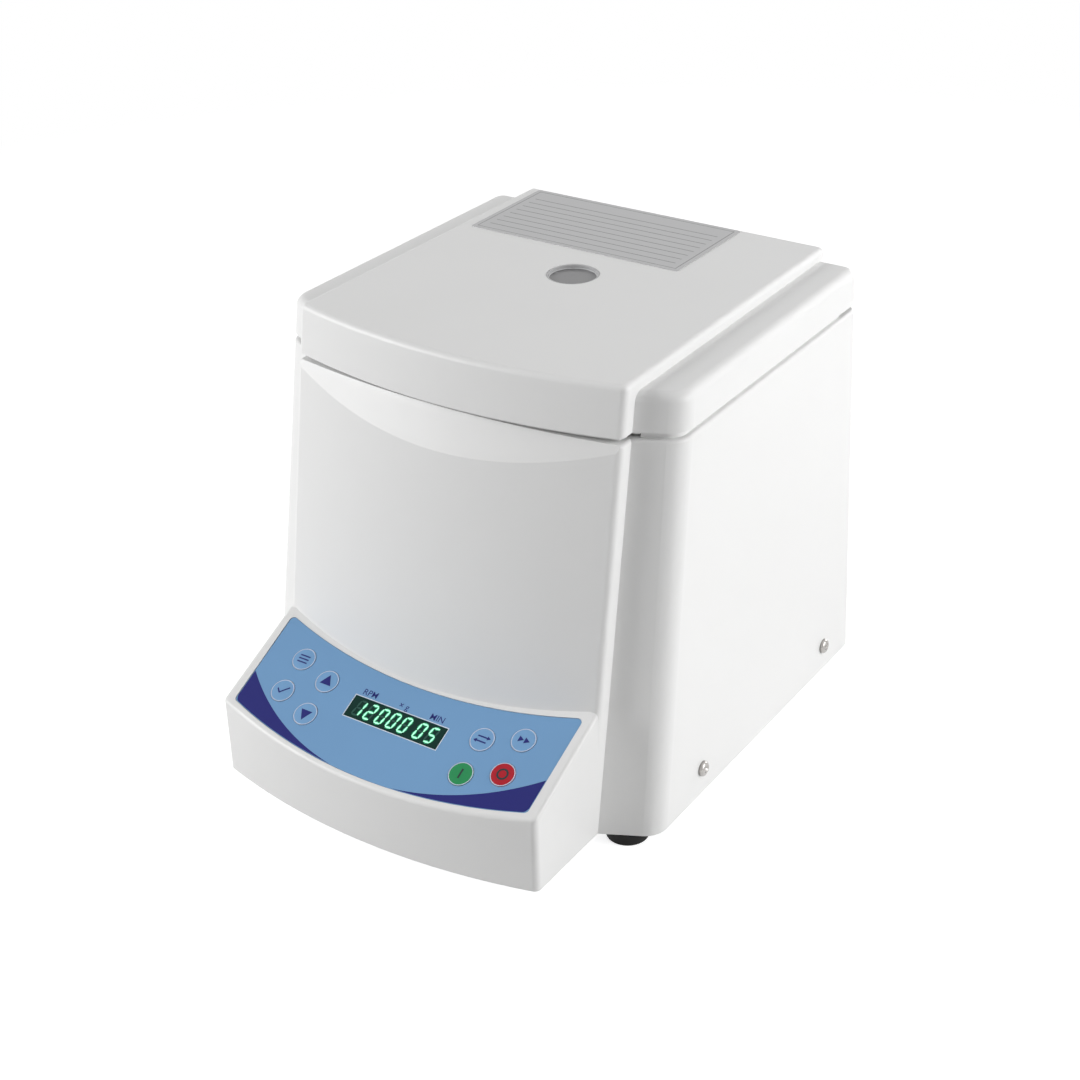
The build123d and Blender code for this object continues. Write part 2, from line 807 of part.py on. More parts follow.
for low in (lower_bearing_low, upper_bearing_low):
    bearings.append(ring(0, 0, low, low + bearing_height, bearing_radius - 0.02, bearing_bore))
save("motor_bearings", *bearings)
stator_top = stator_low_z + stator_height
stator = ring(0, 0, stator_low_z, stator_top, motor_radius - motor_wall - 0.05, stator_inner_radius)
for low in (stator_low_z - coil_height, stator_top):
    stator += ring(0, 0, low, low + coil_height, motor_radius - motor_wall - 4, stator_inner_radius + 2)
save("motor_stator", stator)
armature_radius = stator_inner_radius - armature_gap
armature = ring(0, 0, stator_low_z + 2, stator_top - 2, armature_radius, shaft_radius + 0.01)
save("motor_armature", armature)

# Suspension: posts, rubber mounts and the plate that carries the motor

plate_outline = Rectangle(motor_plate_half * 2, motor_plate_half * 2)
plate_outline = fillet(plate_outline.vertices(), motor_plate_corner)
motor_plate = Pos(0, 0, motor_plate_low) * extrude(plate_outline, motor_plate_thickness)
motor_plate -= disc(0, 0, motor_plate_low - 1, motor_plate_top + 1, neck_radius + 0.3)
for place in motor_screw_places:
    motor_plate -= place * Cylinder(machine_shank_radius + screw_gap, 20)
save("motor_plate", motor_plate)
motor_screws = []
for place in motor_screw_places:
    seat = place * Pos(0, 0, seat_gap)
    length = motor_plate_thickness + 5
    motor_screws.append(screw(seat, machine_head_radius, machine_head_height, machine_shank_radius, length))
save("machine_screws", *foot_screws, *motor_screws)
mount_low = motor_plate_low - mount_height
posts = [disc(x, y, base_top, mount_low, post_radius) for x, y in post_places]
waist_low = (mount_radius, 2)
waist_high = (mount_radius, mount_height - 2)
waist = ThreePointArc(waist_low, (mount_radius - mount_waist, mount_height / 2), waist_high)
lower_end = Polyline((0, 0), (mount_radius, 0), waist_low)
upper_end = Polyline(waist_high, (mount_radius, mount_height), (0, mount_height), (0, 0))
mount_face = Plane.XZ * make_face(lower_end + waist + upper_end)
mount = revolve(mount_face, Axis.Z)
save("vibration_mounts", *[Pos(x, y, mount_low) * mount for x, y in post_places])
grommet_top = bowl_floor_z + bowl_neck_height + 1
grommet = ring(0, 0, bowl_floor_z - 3, grommet_top, bowl_neck_radius - 0.1, neck_radius + 0.1)
save("shaft_grommet", grommet)

# Rotor: shaft, slotted disc, rim gasket, cover and knob

rotor_top = rotor_low_z + rotor_plate_thickness
gasket_outer = rotor_radius - rotor_rim_width
gasket_inner = gasket_outer - rotor_gasket_width
cover_low = rotor_top + cover_lift
cover_top = cover_low + cover_thickness
knob_low = cover_top + 0.2
shaft_top = knob_low + knob_height - 4
save("motor_shaft", disc(0, 0, shaft_low_z, shaft_top, shaft_radius))
bore = shaft_radius + 0.01
rotor = disc(0, 0, rotor_low_z, rotor_top + rotor_rim_height, rotor_radius)
rotor = fillet(rotor.edges().sort_by(Axis.Z)[0], 1.5)
rotor += disc(0, 0, rotor_low_z - rotor_hub_depth, rotor_low_z + 1, rotor_hub_radius)
rotor -= disc(0, 0, rotor_top, rotor_top + 10, gasket_outer)
rotor -= disc(0, 0, rotor_low_z - 20, rotor_top + 10, bore)
for i in range(slot_count):
    middle = (slot_inner_radius + gasket_inner) / 2
    slot = Pos(middle, 0, rotor_top) * Box(gasket_inner - slot_inner_radius, slot_width, slot_depth * 2)
    rotor -= Rot(0, 0, 360 * i / slot_count) * slot
save("rotor_disc", rotor)
gasket = ring(0, 0, rotor_top, rotor_top + rotor_rim_height - 0.4, gasket_outer - 0.02, gasket_inner)
save("rotor_rim_gasket", gasket)
cover = ring(0, 0, cover_low, cover_top, gasket_inner - 0.4, bore + 0.5)
cover_dish = ring(0, 0, cover_low - 1, cover_low + 0.3, gasket_inner - 6, knob_radius + 6)
save("rotor_cover", cover - cover_dish)
knob = disc(0, 0, knob_low, knob_low + knob_height, knob_radius)
knob = fillet(knob.edges().sort_by(Axis.Z)[-1], 2)
for i in range(knob_flutes):
    flute = disc(knob_radius + 0.8, 0, knob_low + 3, knob_low + knob_height + 1, knob_flute_radius)
    knob -= Rot(0, 0, 360 * i / knob_flutes) * flute
knob -= disc(0, 0, knob_low - 1, shaft_top + 0.5, shaft_radius + running_clearance)
save("rotor_knob", knob)

# Lid shell: the upper part of the same walls, hollow below

lid_shoulders = shoulder_block(lid_low, lid_shoulder_top)
lid_shoulders = fillet(top_edges(lid_shoulders, lid_shoulder_top, rear_y + 1), lid_edge_radius)
lid_centre = centre_block(lid_low, lid_top)
lid_centre = fillet(top_edges(lid_centre, lid_top, rear_y - 1), lid_crown_edge_radius)
lid_void = shoulder_block(lid_low - 1, lid_shoulder_top - wall, wall)
lid_void += centre_block(lid_low - 1, lid_top - wall, wall)
lid = lid_shoulders + lid_centre - lid_void
boss_low = lid_top - wall - window_boss_depth
lid += disc(0, window_centre_y, boss_low, lid_top - wall / 2, window_boss_radius)
lid -= disc(0, window_centre_y, boss_low - 1, lid_top + 1, window_radius)
liner_boss_places = [(x, y) for x in (-liner_boss_x, liner_boss_x) for y in liner_boss_y]
for x, y in liner_boss_places:
    lid += disc(x, y, liner_top + 0.2, lid_top - wall / 2, liner_boss_radius)
for x, y in liner_boss_places:
    lid -= disc(x, y, liner_top - 1, liner_top + 12, liner_shank_radius + screw_gap)
notch_half = hinge_width / 2 + notch_margin
notch_top = hinge_z + barrel_radius + notch_margin
for side in (-1, 1):
    low_x = side * hinge_x - notch_half
    lid -= box((low_x, rear_y - wall * 2, lid_low - 1), (low_x + notch_half * 2, rear_y + 1, notch_top))
lid_leaf_back = rear_y - wall - lid_leaf_gap
lid_leaf_front = lid_leaf_back - leaf_thickness
lid_leaf_screw_z = (notch_top + leaf_lid_high_z) / 2 + 1
hinge_screw_places = []
for side in (-1, 1):
    for dx in (-lid_leaf_screw_x, lid_leaf_screw_x):
        place = Pos(side * hinge_x + dx, lid_leaf_front, lid_leaf_screw_z) * Rot(90, 0, 0)
        hinge_screw_places.append(place)
for place in hinge_screw_places:
    lid -= place * Pos(0, 0, -1.9) * Cylinder(lid_shank_radius + screw_gap, 3.8)
save("lid_shell", lid)

# Lid liner: the inner panel with its window tube, seal groove and switch presser

liner_inset = wall + liner_side_clearance
liner = extrude(shoulder_face(lid_low, liner_inset), liner_thickness)
liner_front = bowed_face(front_y(lid_low), bow_radius_at(lid_low), lid_low, liner_inset)
liner += extrude(liner_front, liner_thickness)
liner = Pos(0, 0, liner_low - lid_low) * liner
liner -= box((-200, liner_rear_y, liner_low - 1), (200, rear_y + 5, liner_top + 1))
for side in (-1, 1):
    liner -= shoulder_rim(side, liner_low - 1, liner_top + 1, wall, lip_inner + lip_gap, lip_gap)
tube_top = boss_low - liner_tube_gap
liner += disc(0, window_centre_y, liner_top - 0.5, tube_top, liner_tube_inner + liner_tube_wall)
liner -= disc(0, window_centre_y, liner_top, tube_top + 1, liner_tube_inner)
liner -= disc(0, window_centre_y, liner_low - 1, liner_top + 1, liner_hole_radius)
seal_inner = bowl_radius + bowl_wall + (bowl_flange_width - seal_width) / 2
seal_outer = seal_inner + seal_width
groove_top = liner_low + liner_thickness / 2
liner -= ring(0, 0, liner_low - 1, groove_top, seal_outer + 0.05, seal_inner - 0.05)
for x, y in liner_boss_places:
    place = Pos(x, y, liner_low) * Rot(180, 0, 0)
    liner -= countersink(place, leaf_head_radius, leaf_head_height, liner_shank_radius, 20)
presser_low = lid_low - lid_gap - 1 + presser_gap
liner += disc(switch_x, striker_y, presser_low, liner_low + 1, presser_radius)
leg_slot_half = striker_half_width + striker_wire_radius + 0.2
leg_slot_depth = striker_wire_radius + 0.2
slot_low = (-leg_slot_half, striker_y - leg_slot_depth, liner_low - 1)
liner -= box(slot_low, (leg_slot_half, striker_y + leg_slot_depth, liner_top + 1))
striker_screw_x = striker_plate[0] / 2 + 2.5
striker_top = liner_top + striker_plate[2]
striker_screw_places = [Pos(x, striker_y, striker_top) for x in (-striker_screw_x, striker_screw_x)]
for place in striker_screw_places:
    liner -= place * Cylinder(lid_shank_radius + screw_gap, 12)
save("lid_liner", liner)
liner_screws = []
for x, y in liner_boss_places:
    place = Pos(x, y, liner_low) * Rot(180, 0, 0)
    liner_screws.append(flat_screw(place, leaf_head_radius, leaf_head_height, liner_shank_radius, 12))
save("lid_seal", ring(0, 0, body_top + seal_clearance, groove_top - 0.05, seal_outer, seal_inner))

# Viewing window: bezel and lens

bezel_outer = window_radius - bezel_fit
bezel_low = lid_top - bezel_depth
bezel_bore = bezel_outer - bezel_wall
lens_top = lid_top - lens_seat
lens_low = lens_top - lens_thickness
bezel = ring(0, window_centre_y, bezel_low, lid_top - 0.3, bezel_outer, bezel_bore)
bezel += ring(0, window_centre_y, bezel_low, lens_low - 0.05, bezel_outer, bezel_bore - bezel_ledge)
save("window_bezel", bezel)
save("window_lens", disc(0, window_centre_y, lens_low, lens_top, bezel_bore - 0.1))

# Label plate on the lid

label_size = (label_right_x - label_left_x, label_rear_y - label_front_y)
label_face = Rectangle(*label_size)
label_face = fillet(label_face.vertices(), label_corner_radius)
label_middle = ((label_left_x + label_right_x) / 2, (label_front_y + label_rear_y) / 2)
save("label_plate", Pos(*label_middle, lid_top) * extrude(label_face, label_thickness))

# Hinges: body leaves, lid leaves and pins

body_leaves = []
lid_leaves = []
pins = []
half = hinge_width / 2
leaf_low = leaf_top - leaf_thickness
arm_y = hinge_y - barrel_radius
arm_back = arm_y + leaf_thickness
for side in (-1, 1):
    x = side * hinge_x
    leaf = box((x - half, leaf_front_y, leaf_low), (x + half, arm_back, leaf_top))
    for low_x in (x - half, x + half - barrel_end_width):
        high_x = low_x + barrel_end_width
        leaf += box((low_x, arm_y, leaf_low), (high_x, arm_back, hinge_z))
        leaf += bar_x(low_x, high_x, hinge_y, hinge_z, barrel_radius)
    leaf -= bar_x(x - half - 1, x + half + 1, hinge_y, hinge_z, pin_radius + press_gap)
    for place in leaf_screw_places:
        leaf -= countersink(place, leaf_head_radius, leaf_head_height, leaf_shank_radius, 10)
    body_leaves.append(leaf)
    middle_half = half - barrel_end_width - barrel_gap
    leaf = box((x - half, lid_leaf_front, notch_top), (x + half, lid_leaf_back, leaf_lid_high_z))
    leaf += box((x - middle_half, lid_leaf_front, hinge_z), (x + middle_half, lid_leaf_back, notch_top + 1))
    leaf += bar_x(x - middle_half, x + middle_half, hinge_y, hinge_z, barrel_radius)
    leaf -= bar_x(x - half - 1, x + half + 1, hinge_y, hinge_z, pin_radius + pin_fit)
    for place in hinge_screw_places:
        leaf -= place * Cylinder(lid_shank_radius + screw_gap, 8)
    lid_leaves.append(leaf)
    pins.append(bar_x(x - half - 0.5, x + half + 0.5, hinge_y, hinge_z, pin_radius))
save("hinge_body_leaves", *body_leaves)
save("hinge_lid_leaves", *lid_leaves)
leaf_screws = []
for place in leaf_screw_places:
    leaf_screws.append(flat_screw(place, leaf_head_radius, leaf_head_height, leaf_shank_radius, 6))
save("deck_screws", *bowl_screws, *leaf_screws)
hinge_screws = []
for place in hinge_screw_places:
    seat = place * Pos(0, 0, seat_gap)
    length = leaf_thickness + 1.9
    hinge_screws.append(screw(seat, lid_head_radius, lid_head_height, lid_shank_radius, length))

# Latch: striker loop on the lid, and the pawl, frame and solenoid below the deck

loop_path = FilletPolyline(
    (-striker_half_width, striker_y, striker_top),
    (-striker_half_width, striker_y, striker_low_z),
    (striker_half_width, striker_y, striker_low_z),
    (striker_half_width, striker_y, striker_top),
    radius=striker_bend,
)
loop_start = Plane(origin=loop_path @ 0, z_dir=loop_path % 0)
loop = sweep(loop_start * Circle(striker_wire_radius), path=loop_path)
striker_foot_half = striker_screw_x + 3.5
foot_low = (-striker_foot_half, striker_y - striker_plate[1] / 2, liner_top)
striker = loop + box(foot_low, (striker_foot_half, striker_y + striker_plate[1] / 2, striker_top))
for place in striker_screw_places:
    striker -= place * Cylinder(lid_shank_radius + screw_gap, 8)
save("latch_striker", striker)
striker_screws = []
for place in striker_screw_places:
    seat = place * Pos(0, 0, seat_gap)
    striker_screws.append(screw(seat, lid_head_radius, lid_head_height, lid_shank_radius, 4.5))
save("lid_screws", *liner_screws, *hinge_screws, *striker_screws)

pivot_y, pivot_z = pawl_pivot
cheek_in = latch_half_gap - latch_sheet
solenoid_z = pivot_z - solenoid_drop
frame_high = deck_under - 0.2
cheek = box((cheek_in, latch_front_y, latch_low_z), (latch_half_gap, latch_rear_y, frame_high))
ear_low = (cheek_in, latch_front_y, frame_high - latch_sheet)
ear = box(ear_low, (latch_half_gap + ear_reach * 2, latch_rear_y, frame_high))
front_low = (-latch_half_gap, latch_front_y, latch_low_z)
frame = box(front_low, (latch_half_gap, latch_rear_y, latch_low_z + latch_sheet))
for solid in both_sides(cheek) + both_sides(ear):
    frame += solid
frame += box(front_low, (latch_half_gap, latch_front_y + latch_sheet, solenoid_z + solenoid_half))
frame -= bar_x(-20, 20, pivot_y, pivot_z, pawl_pin_radius + press_gap)
frame -= bar_y(0, latch_front_y - 5, latch_front_y + 5, solenoid_z, plunger_radius + plunger_gap)
ear_screw_places = []
for x in (-latch_half_gap - ear_reach, latch_half_gap + ear_reach):
    for y in (latch_front_y + ear_inset, latch_rear_y - ear_inset):
        ear_screw_places.append(Pos(x, y, frame_high - latch_sheet - seat_gap) * Rot(180, 0, 0))
for place in ear_screw_places:
    frame -= place * Cylinder(small_shank_radius + screw_gap, 6)
save("latch_frame", frame)
pawl_tail = (2, 20)
pawl_points = [(2, -20), (-2, -20), (-3.5, -6), (-3.5, 15.2), (-11, 15.2), (-9.5, 18.5), (-6, 20.5)]
pawl_points += [(1, 20.5), (3.5, 12), (3.5, -6)]
pawl_face = Plane.YZ * make_face(Polyline(*pawl_points, close=True))
pawl = Pos(-pawl_half_thickness, 0, 0) * extrude(pawl_face, pawl_half_thickness * 2)
pawl -= bar_x(-10, 10, 0, 0, pawl_pin_radius + running_clearance)
save("latch_pawl", Pos(0, pivot_y, pivot_z) * Rot(-pawl_release_deg, 0, 0) * pawl)
pins.append(bar_x(-latch_half_gap - 1, latch_half_gap + 1, pivot_y, pivot_z, pawl_pin_radius))
save("pivot_pins", *pins)
solenoid_front = latch_front_y - solenoid_length
solenoid_low = (-solenoid_half, solenoid_front, solenoid_z - solenoid_half)
solenoid = box(solenoid_low, (solenoid_half, latch_front_y, solenoid_z + solenoid_half))
solenoid = fillet(solenoid.edges().filter_by(Axis.Y), 2)
solenoid -= bar_y(0, solenoid_front + 2, latch_front_y + 5, solenoid_z, plunger_radius + 0.2)
save("latch_solenoid", solenoid)
released = radians(pawl_release_deg)
tail_y = pivot_y - pawl_tail[0] * cos(released) - pawl_tail[1] * sin(released)
plunger_tip = tail_y - plunger_gap
plunger = bar_y(0, plunger_tip - plunger_length, plunger_tip, solenoid_z, plunger_radius)
save("solenoid_plunger", fillet(plunger.edges().sort_by(Axis.Y)[-1], 0.6))

# Lid switch with its button

switch_top = deck_under - lid_switch_top_gap
switch_middle = switch_top - lid_switch_size[2] / 2
switch_body = Pos(switch_x, striker_y, switch_middle) * Box(*lid_switch_size)
button_top = presser_low - presser_gap
button_low = button_top - lid_button_height - lid_button_hidden
bore_low = button_low - lid_button_travel - 0.5
switch_body -= disc(switch_x, striker_y, bore_low, switch_top + 1, lid_button_radius + lid_button_gap)
save("lid_switch", switch_body)
save("lid_switch_button", disc(switch_x, striker_y, button_low, button_top, lid_button_radius))

# Overlay, display pane and keys on the console's panel

overlay = panel_band(
    overlay_half_width,
    overlay_low_s,
    overlay_high_s,
    overlay_bow_radius,
    overlay_corner_radius - overlay_clearance,
    overlay_thickness - overlay_recess,
    -overlay_recess,
)
pane_half = (display_half_width - display_clearance, display_half_height - display_clearance)
overlay -= on_panel(0, display_middle) * Box(display_half_width * 2, display_half_height * 2, 10)
for x, s in key_places.values():
    overlay -= on_panel(x, s) * Cylinder(key_radius + key_clearance, 10)
save("membrane_overlay", overlay)
pane_depth = overlay_recess - display_pane_thickness / 2
pane = Box(pane_half[0] * 2, pane_half[1] * 2, display_pane_thickness)
save("display_pane", on_panel(0, display_middle, pane_depth) * pane)
crown_rise = key_crown_top - key_side_top
crown_radius = (key_radius**2 + crown_rise**2) / (2 * crown_rise)
crown = Pos(0, 0, key_crown_top - crown_radius) * Sphere(crown_radius)
key = disc(0, 0, key_low, key_crown_top + 1, key_radius) & crown
for node, (x, s) in key_places.items():
    save(node, on_panel(x, s) * key)

# Keypad board with its switches, and the display module

board_size = (board_half_width * 2, board_high_s - board_low_s, board_thickness)
board = on_panel(0, (board_low_s + board_high_s) / 2, board_depth - board_thickness / 2) * Box(*board_size)
for x, s in board_boss_places:
    board -= on_panel(x, s, board_depth) * Cylinder(small_shank_radius + screw_gap, 10)
save("keypad_board", board)
small_seats = [on_panel(x, s, board_depth + seat_gap) * Rot(180, 0, 0) for x, s in board_boss_places]
small_screws = []
for seat in small_seats:
    small_screws.append(screw(seat, small_head_radius, small_head_height, small_shank_radius, 5))
for seat in ear_screw_places:
    small_screws.append(screw(seat, small_head_radius, small_head_height, small_shank_radius, 3.8))
key_switches = []
switch_button_top = -key_low + key_travel + 0.25
switch_body_top = switch_button_top + 2.2
for x, s in key_places.values():
    body_height = board_top - switch_body_top
    body = on_panel(x, s, board_top - body_height / 2) * Box(switch_size, switch_size, body_height)
    stem_height = board_top - switch_button_top
    body += on_panel(x, s, board_top - stem_height / 2) * Cylinder(switch_button_radius, stem_height)
    key_switches.append(body)
save("key_switches", *key_switches)
module_height = board_top - overlay_recess - 0.3
module_half_height = display_half_height - 0.8
module = Box((display_half_width - 1.0) * 2, module_half_height * 2, module_height)
save("display_module", on_panel(0, display_middle, board_top - module_height / 2) * module)

# Rear panel with its vents, power inlet, fuse drawer and rocker switch

rear_panel = box(
    (-rear_panel_half_width, rear_y - rear_panel_thickness, rear_panel_low_z),
    (rear_panel_half_width, rear_y, rear_panel_high_z),
)
for i in range(rear_vent_slots):
    x = rear_vent_x + (i - (rear_vent_slots - 1) / 2) * rear_vent_pitch
    rear_panel -= Pos(x, rear_y, rear_vent_z) * Rot(90, 0, 0) * extrude(
        SlotOverall(rear_vent_height, rear_vent_width, rotation=90), 10, both=True
    )
rear_panel -= Pos(inlet_x, rear_y, inlet_z) * Box(inlet_body[0] + 0.3, 20, inlet_body[1] + 0.3)
rear_panel -= Pos(rocker_x, rear_y, rocker_z) * Box(rocker_body[0] + 0.3, 20, rocker_body[1] + 0.3)
for place in rear_screw_places:
    rear_panel -= place * Cylinder(rear_shank_radius + screw_gap, 10)
inlet_face = rear_y + inlet_flange[2] + seat_gap
inlet_screw_places = []
for x in (inlet_x - inlet_screw_x, inlet_x + inlet_screw_x):
    inlet_screw_places.append(Pos(x, inlet_face, inlet_z) * Rot(-90, 0, 0))
for place in inlet_screw_places:
    rear_panel -= place * Cylinder(rear_shank_radius + screw_gap, 12)
save("rear_panel", rear_panel)
rear_screws = []
for place in rear_screw_places:
    seat = place * Pos(0, 0, seat_gap)
    length = rear_panel_thickness + 1.4
    rear_screws.append(screw(seat, rear_head_radius, rear_head_height, rear_shank_radius, length))

inlet = outward_block(inlet_x, inlet_z, inlet_face, inlet_flange)
inlet = fillet(inlet.edges().filter_by(Axis.Y), 4)
inlet += outward_block(inlet_x, inlet_z, rear_y + 1, (inlet_body[0], inlet_body[1], inlet_body[2] + 1))
socket_z = inlet_z - socket_drop
socket = outward_block(inlet_x, socket_z, inlet_face, inlet_socket)
socket = fillet(socket.edges().filter_by(Axis.Y), 3)
inlet -= socket
drawer_z = inlet_z + fuse_rise
drawer_hole = [size + fuse_clearance * 2 for size in fuse_drawer_size]
inlet -= outward_block(inlet_x, drawer_z, inlet_face + fuse_clearance, drawer_hole)
for place in inlet_screw_places:
    inlet -= place * Cylinder(rear_shank_radius + screw_gap, 12)
save("power_inlet", inlet)
drawer = outward_block(inlet_x, drawer_z, inlet_face, fuse_drawer_size)
drawer += outward_block(inlet_x, drawer_z, inlet_face + fuse_lip[2] - 0.2, fuse_lip)
save("fuse_drawer", drawer)
inlet_screws = []
for place in inlet_screw_places:
    seat = place * Pos(0, 0, seat_gap)
    length = inlet_flange[2] + 5
    inlet_screws.append(screw(seat, rear_head_radius, rear_head_height, rear_shank_radius, length))
rocker_face = rear_y + rocker_frame[2] + seat_gap
switch_frame = outward_block(rocker_x, rocker_z, rocker_face, rocker_frame)
switch_frame = fillet(switch_frame.edges().filter_by(Axis.Y), 2)
switch_frame += outward_block(rocker_x, rocker_z, rear_y + 1, rocker_body)
switch_frame -= outward_block(rocker_x, rocker_z, rocker_face, rocker_cavity)
rocker_pivot_y = rocker_face - rocker_pivot_depth
stub_half = rocker_half_width + rocker_stub_length
stub_hole_half = stub_half + rocker_stub_gap
stub_hole_radius = rocker_stub_radius + rocker_stub_gap
low_x, high_x = rocker_x - stub_hole_half, rocker_x + stub_hole_half
switch_frame -= bar_x(low_x, high_x, rocker_pivot_y, rocker_z, stub_hole_radius)
save("rocker_frame", switch_frame)
rocker_points = [(-2.5, -rocker_half_height), (4, -rocker_half_height), (2.4, 0), (4, rocker_half_height)]
rocker_points += [(-2.5, rocker_half_height)]
rocker_outline = Plane.YZ * make_face(Polyline(*rocker_points, close=True))
rocker = extrude(rocker_outline, rocker_half_width, both=True)
rocker += bar_x(-stub_half, stub_half, 0, 0, rocker_stub_radius)
rocker_tilt = rocker_throw_deg / 2
save("power_rocker", Pos(rocker_x, rocker_pivot_y, rocker_z) * Rot(rocker_tilt, 0, 0) * rocker)

# Power board, transformer and heat sink on the base plate

board_z = base_top + board_standoff
centre_x_at, centre_y_at = power_board_centre
half_w, half_l = power_board_size[0] / 2, power_board_size[1] / 2
board_corner = (centre_x_at - half_w, centre_y_at - half_l, board_z)
power_board = box(board_corner, (centre_x_at + half_w, centre_y_at + half_l, board_z + board_thickness))
parts_z = board_z + board_thickness
for dx, dy, radius, height in ((-14, -40, 9, 30), (-14, -16, 9, 30), (12, -44, 6, 18)):
    power_board += disc(centre_x_at + dx, centre_y_at + dy, parts_z - 0.1, parts_z + height, radius)
relay_low = (centre_x_at + 2, centre_y_at + 30, parts_z - 0.1)
power_board += box(relay_low, (centre_x_at + 22, centre_y_at + 46, parts_z + 16))
standoffs = []
for dx in (-half_w + 5, half_w - 5):
    for dy in (-half_l + 5, half_l - 5):
        x, y = centre_x_at + dx, centre_y_at + dy
        hole = disc(x, y, board_z - 6, board_z + 3, small_shank_radius + screw_gap)
        standoffs.append(disc(x, y, base_top, board_z, standoff_radius) - hole)
        power_board -= hole
        seat = Pos(x, y, parts_z + seat_gap)
        small_screws.append(screw(seat, small_head_radius, small_head_height, small_shank_radius, 6))
save("power_board", power_board)
save("panel_screws", *rear_screws, *inlet_screws, *small_screws)
save("base_posts", *posts, *standoffs)
sink_low = (centre_x_at - half_w + 6, centre_y_at - 4, parts_z)
sink_high = [low + size for low, size in zip(sink_low, heat_sink_size)]
heat_sink = box(sink_low, sink_high)
for i in range(heat_sink_gaps):
    gap_x = sink_low[0] + heat_sink_fin + i * heat_sink_fin * 2
    gap_low = (gap_x, sink_low[1] - 1, parts_z + heat_sink_foot)
    heat_sink -= box(gap_low, (gap_x + heat_sink_fin, sink_high[1] + 1, sink_high[2] + 1))
save("heat_sink", heat_sink)
tx, ty = transformer_centre
core_half_x, core_half_y = transformer_size[0] / 2, transformer_size[1] / 2
core_top = base_top + transformer_size[2]
core_low = (tx - core_half_x + 8, ty - core_half_y, base_top)
core = box(core_low, (tx + core_half_x - 8, ty + core_half_y, core_top))
coil_low = (tx - core_half_x, ty - core_half_y + 12, base_top + 8)
coil = box(coil_low, (tx + core_half_x, ty + core_half_y - 12, core_top - 8))
core += fillet(coil.edges().filter_by(Axis.Z), 4)
save("transformer", core)
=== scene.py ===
import json
from math import atan, cos, hypot, pi, radians, sin, sqrt, tan

import bmesh
import bpy
import numpy as np
from bpy.props import FloatProperty, FloatVectorProperty, IntProperty, PointerProperty
from mathutils import Matrix, Vector


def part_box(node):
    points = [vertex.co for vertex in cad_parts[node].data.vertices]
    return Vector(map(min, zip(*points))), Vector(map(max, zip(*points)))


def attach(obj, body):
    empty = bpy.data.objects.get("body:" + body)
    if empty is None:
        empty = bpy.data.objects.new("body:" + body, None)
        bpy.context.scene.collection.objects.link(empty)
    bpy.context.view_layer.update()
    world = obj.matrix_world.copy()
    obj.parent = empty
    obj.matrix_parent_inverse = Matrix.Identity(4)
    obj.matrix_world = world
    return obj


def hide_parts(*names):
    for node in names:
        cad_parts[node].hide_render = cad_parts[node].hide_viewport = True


bl_info = {
    "name": "Capillary tube centrifuge",
    "version": (1, 0, 0),
    "blender": (4, 5, 0),
    "location": "3D View > Sidebar > Centrifuge",
    "description": "Finishes, prints and small fittings laid over a bench centrifuge's packed parts",
    "category": "Object",
}

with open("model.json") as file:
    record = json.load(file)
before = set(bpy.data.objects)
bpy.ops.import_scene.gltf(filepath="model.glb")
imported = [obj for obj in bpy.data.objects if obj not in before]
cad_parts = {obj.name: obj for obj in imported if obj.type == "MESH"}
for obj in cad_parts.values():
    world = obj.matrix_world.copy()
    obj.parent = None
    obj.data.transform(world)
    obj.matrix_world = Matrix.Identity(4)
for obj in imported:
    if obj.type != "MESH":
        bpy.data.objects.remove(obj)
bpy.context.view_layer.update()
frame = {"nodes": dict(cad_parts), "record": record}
nodes = frame["nodes"]

# The console's panel, in metres: x across, s up the slope, heights over the panel's face
PANEL_CORNER = Vector((0.0, -0.216, 0.0572))
PANEL_SLOPE = radians(26.5)
OVERLAY_HALF_WIDTH = 0.106
OVERLAY_LOW = 0.0029
OVERLAY_BOW = 0.339
OVERLAY_CORNER = 0.0027
OVERLAY_TOP = -0.0004
BAND_BOW = 0.162
BAND_FOOT = -0.0146
BAND_START = 0.0085
BAND_INSET = 0.0003
BAND_COLUMNS = 90
PANE_HALF_WIDTH = 0.03335
PANE_LOW = 0.01835
PANE_HIGH = 0.03265
PANE_TOP = -0.0003
PANE_EDGE_REACH = 0.0007
PANE_EDGE_WIDTH = 0.00065
KEY_TOP = 0.00025
KEY_RADIUS = 0.0075
KEY_CROWN = 0.0627
KEYS = {
    "key_menu": (-0.0800, 0.0423),
    "key_up": (-0.0565, 0.0340),
    "key_confirm": (-0.0800, 0.0187),
    "key_down": (-0.0565, 0.0101),
    "key_units": (0.0565, 0.0340),
    "key_short_spin": (0.0800, 0.0423),
    "key_start": (0.0565, 0.0101),
    "key_stop": (0.0800, 0.0187),
}
CAPTIONS = (("RPM", -0.0252), ("\u00d7 g", -0.0006), ("MIN", 0.0234))
CAPTION_S = 0.0367
FONT_OVER_CAPITAL = 1.38

# Which of the seven bars each digit lights, clockwise from the top, then the middle one
DIGIT_BARS = {"0": "012345", "1": "12", "2": "01634", "5": "05623"}
DIGITS = (
    ("1", -0.0262), ("2", -0.0179), ("0", -0.0096), ("0", -0.0013), ("0", 0.0070),
    ("0", 0.0180), ("5", 0.0263),
)

# How far the digits' layers stand apart, as a share of the print height
DIGIT_LAYER_STEP = 0.6

# The label's printed frame and ruled lines, measured in from the plate's edges
LABEL_FRAME_INSET = 0.0030
LABEL_FRAME_HALF = 0.00025
LABEL_FIRST_LINE = 0.0085
LABEL_LINE_PITCH = 0.0036
LABEL_LINE_HALF = 0.00030
LABEL_MARGINS = {"side": 0.0075, "top": 0.0150, "foot": 0.0060}

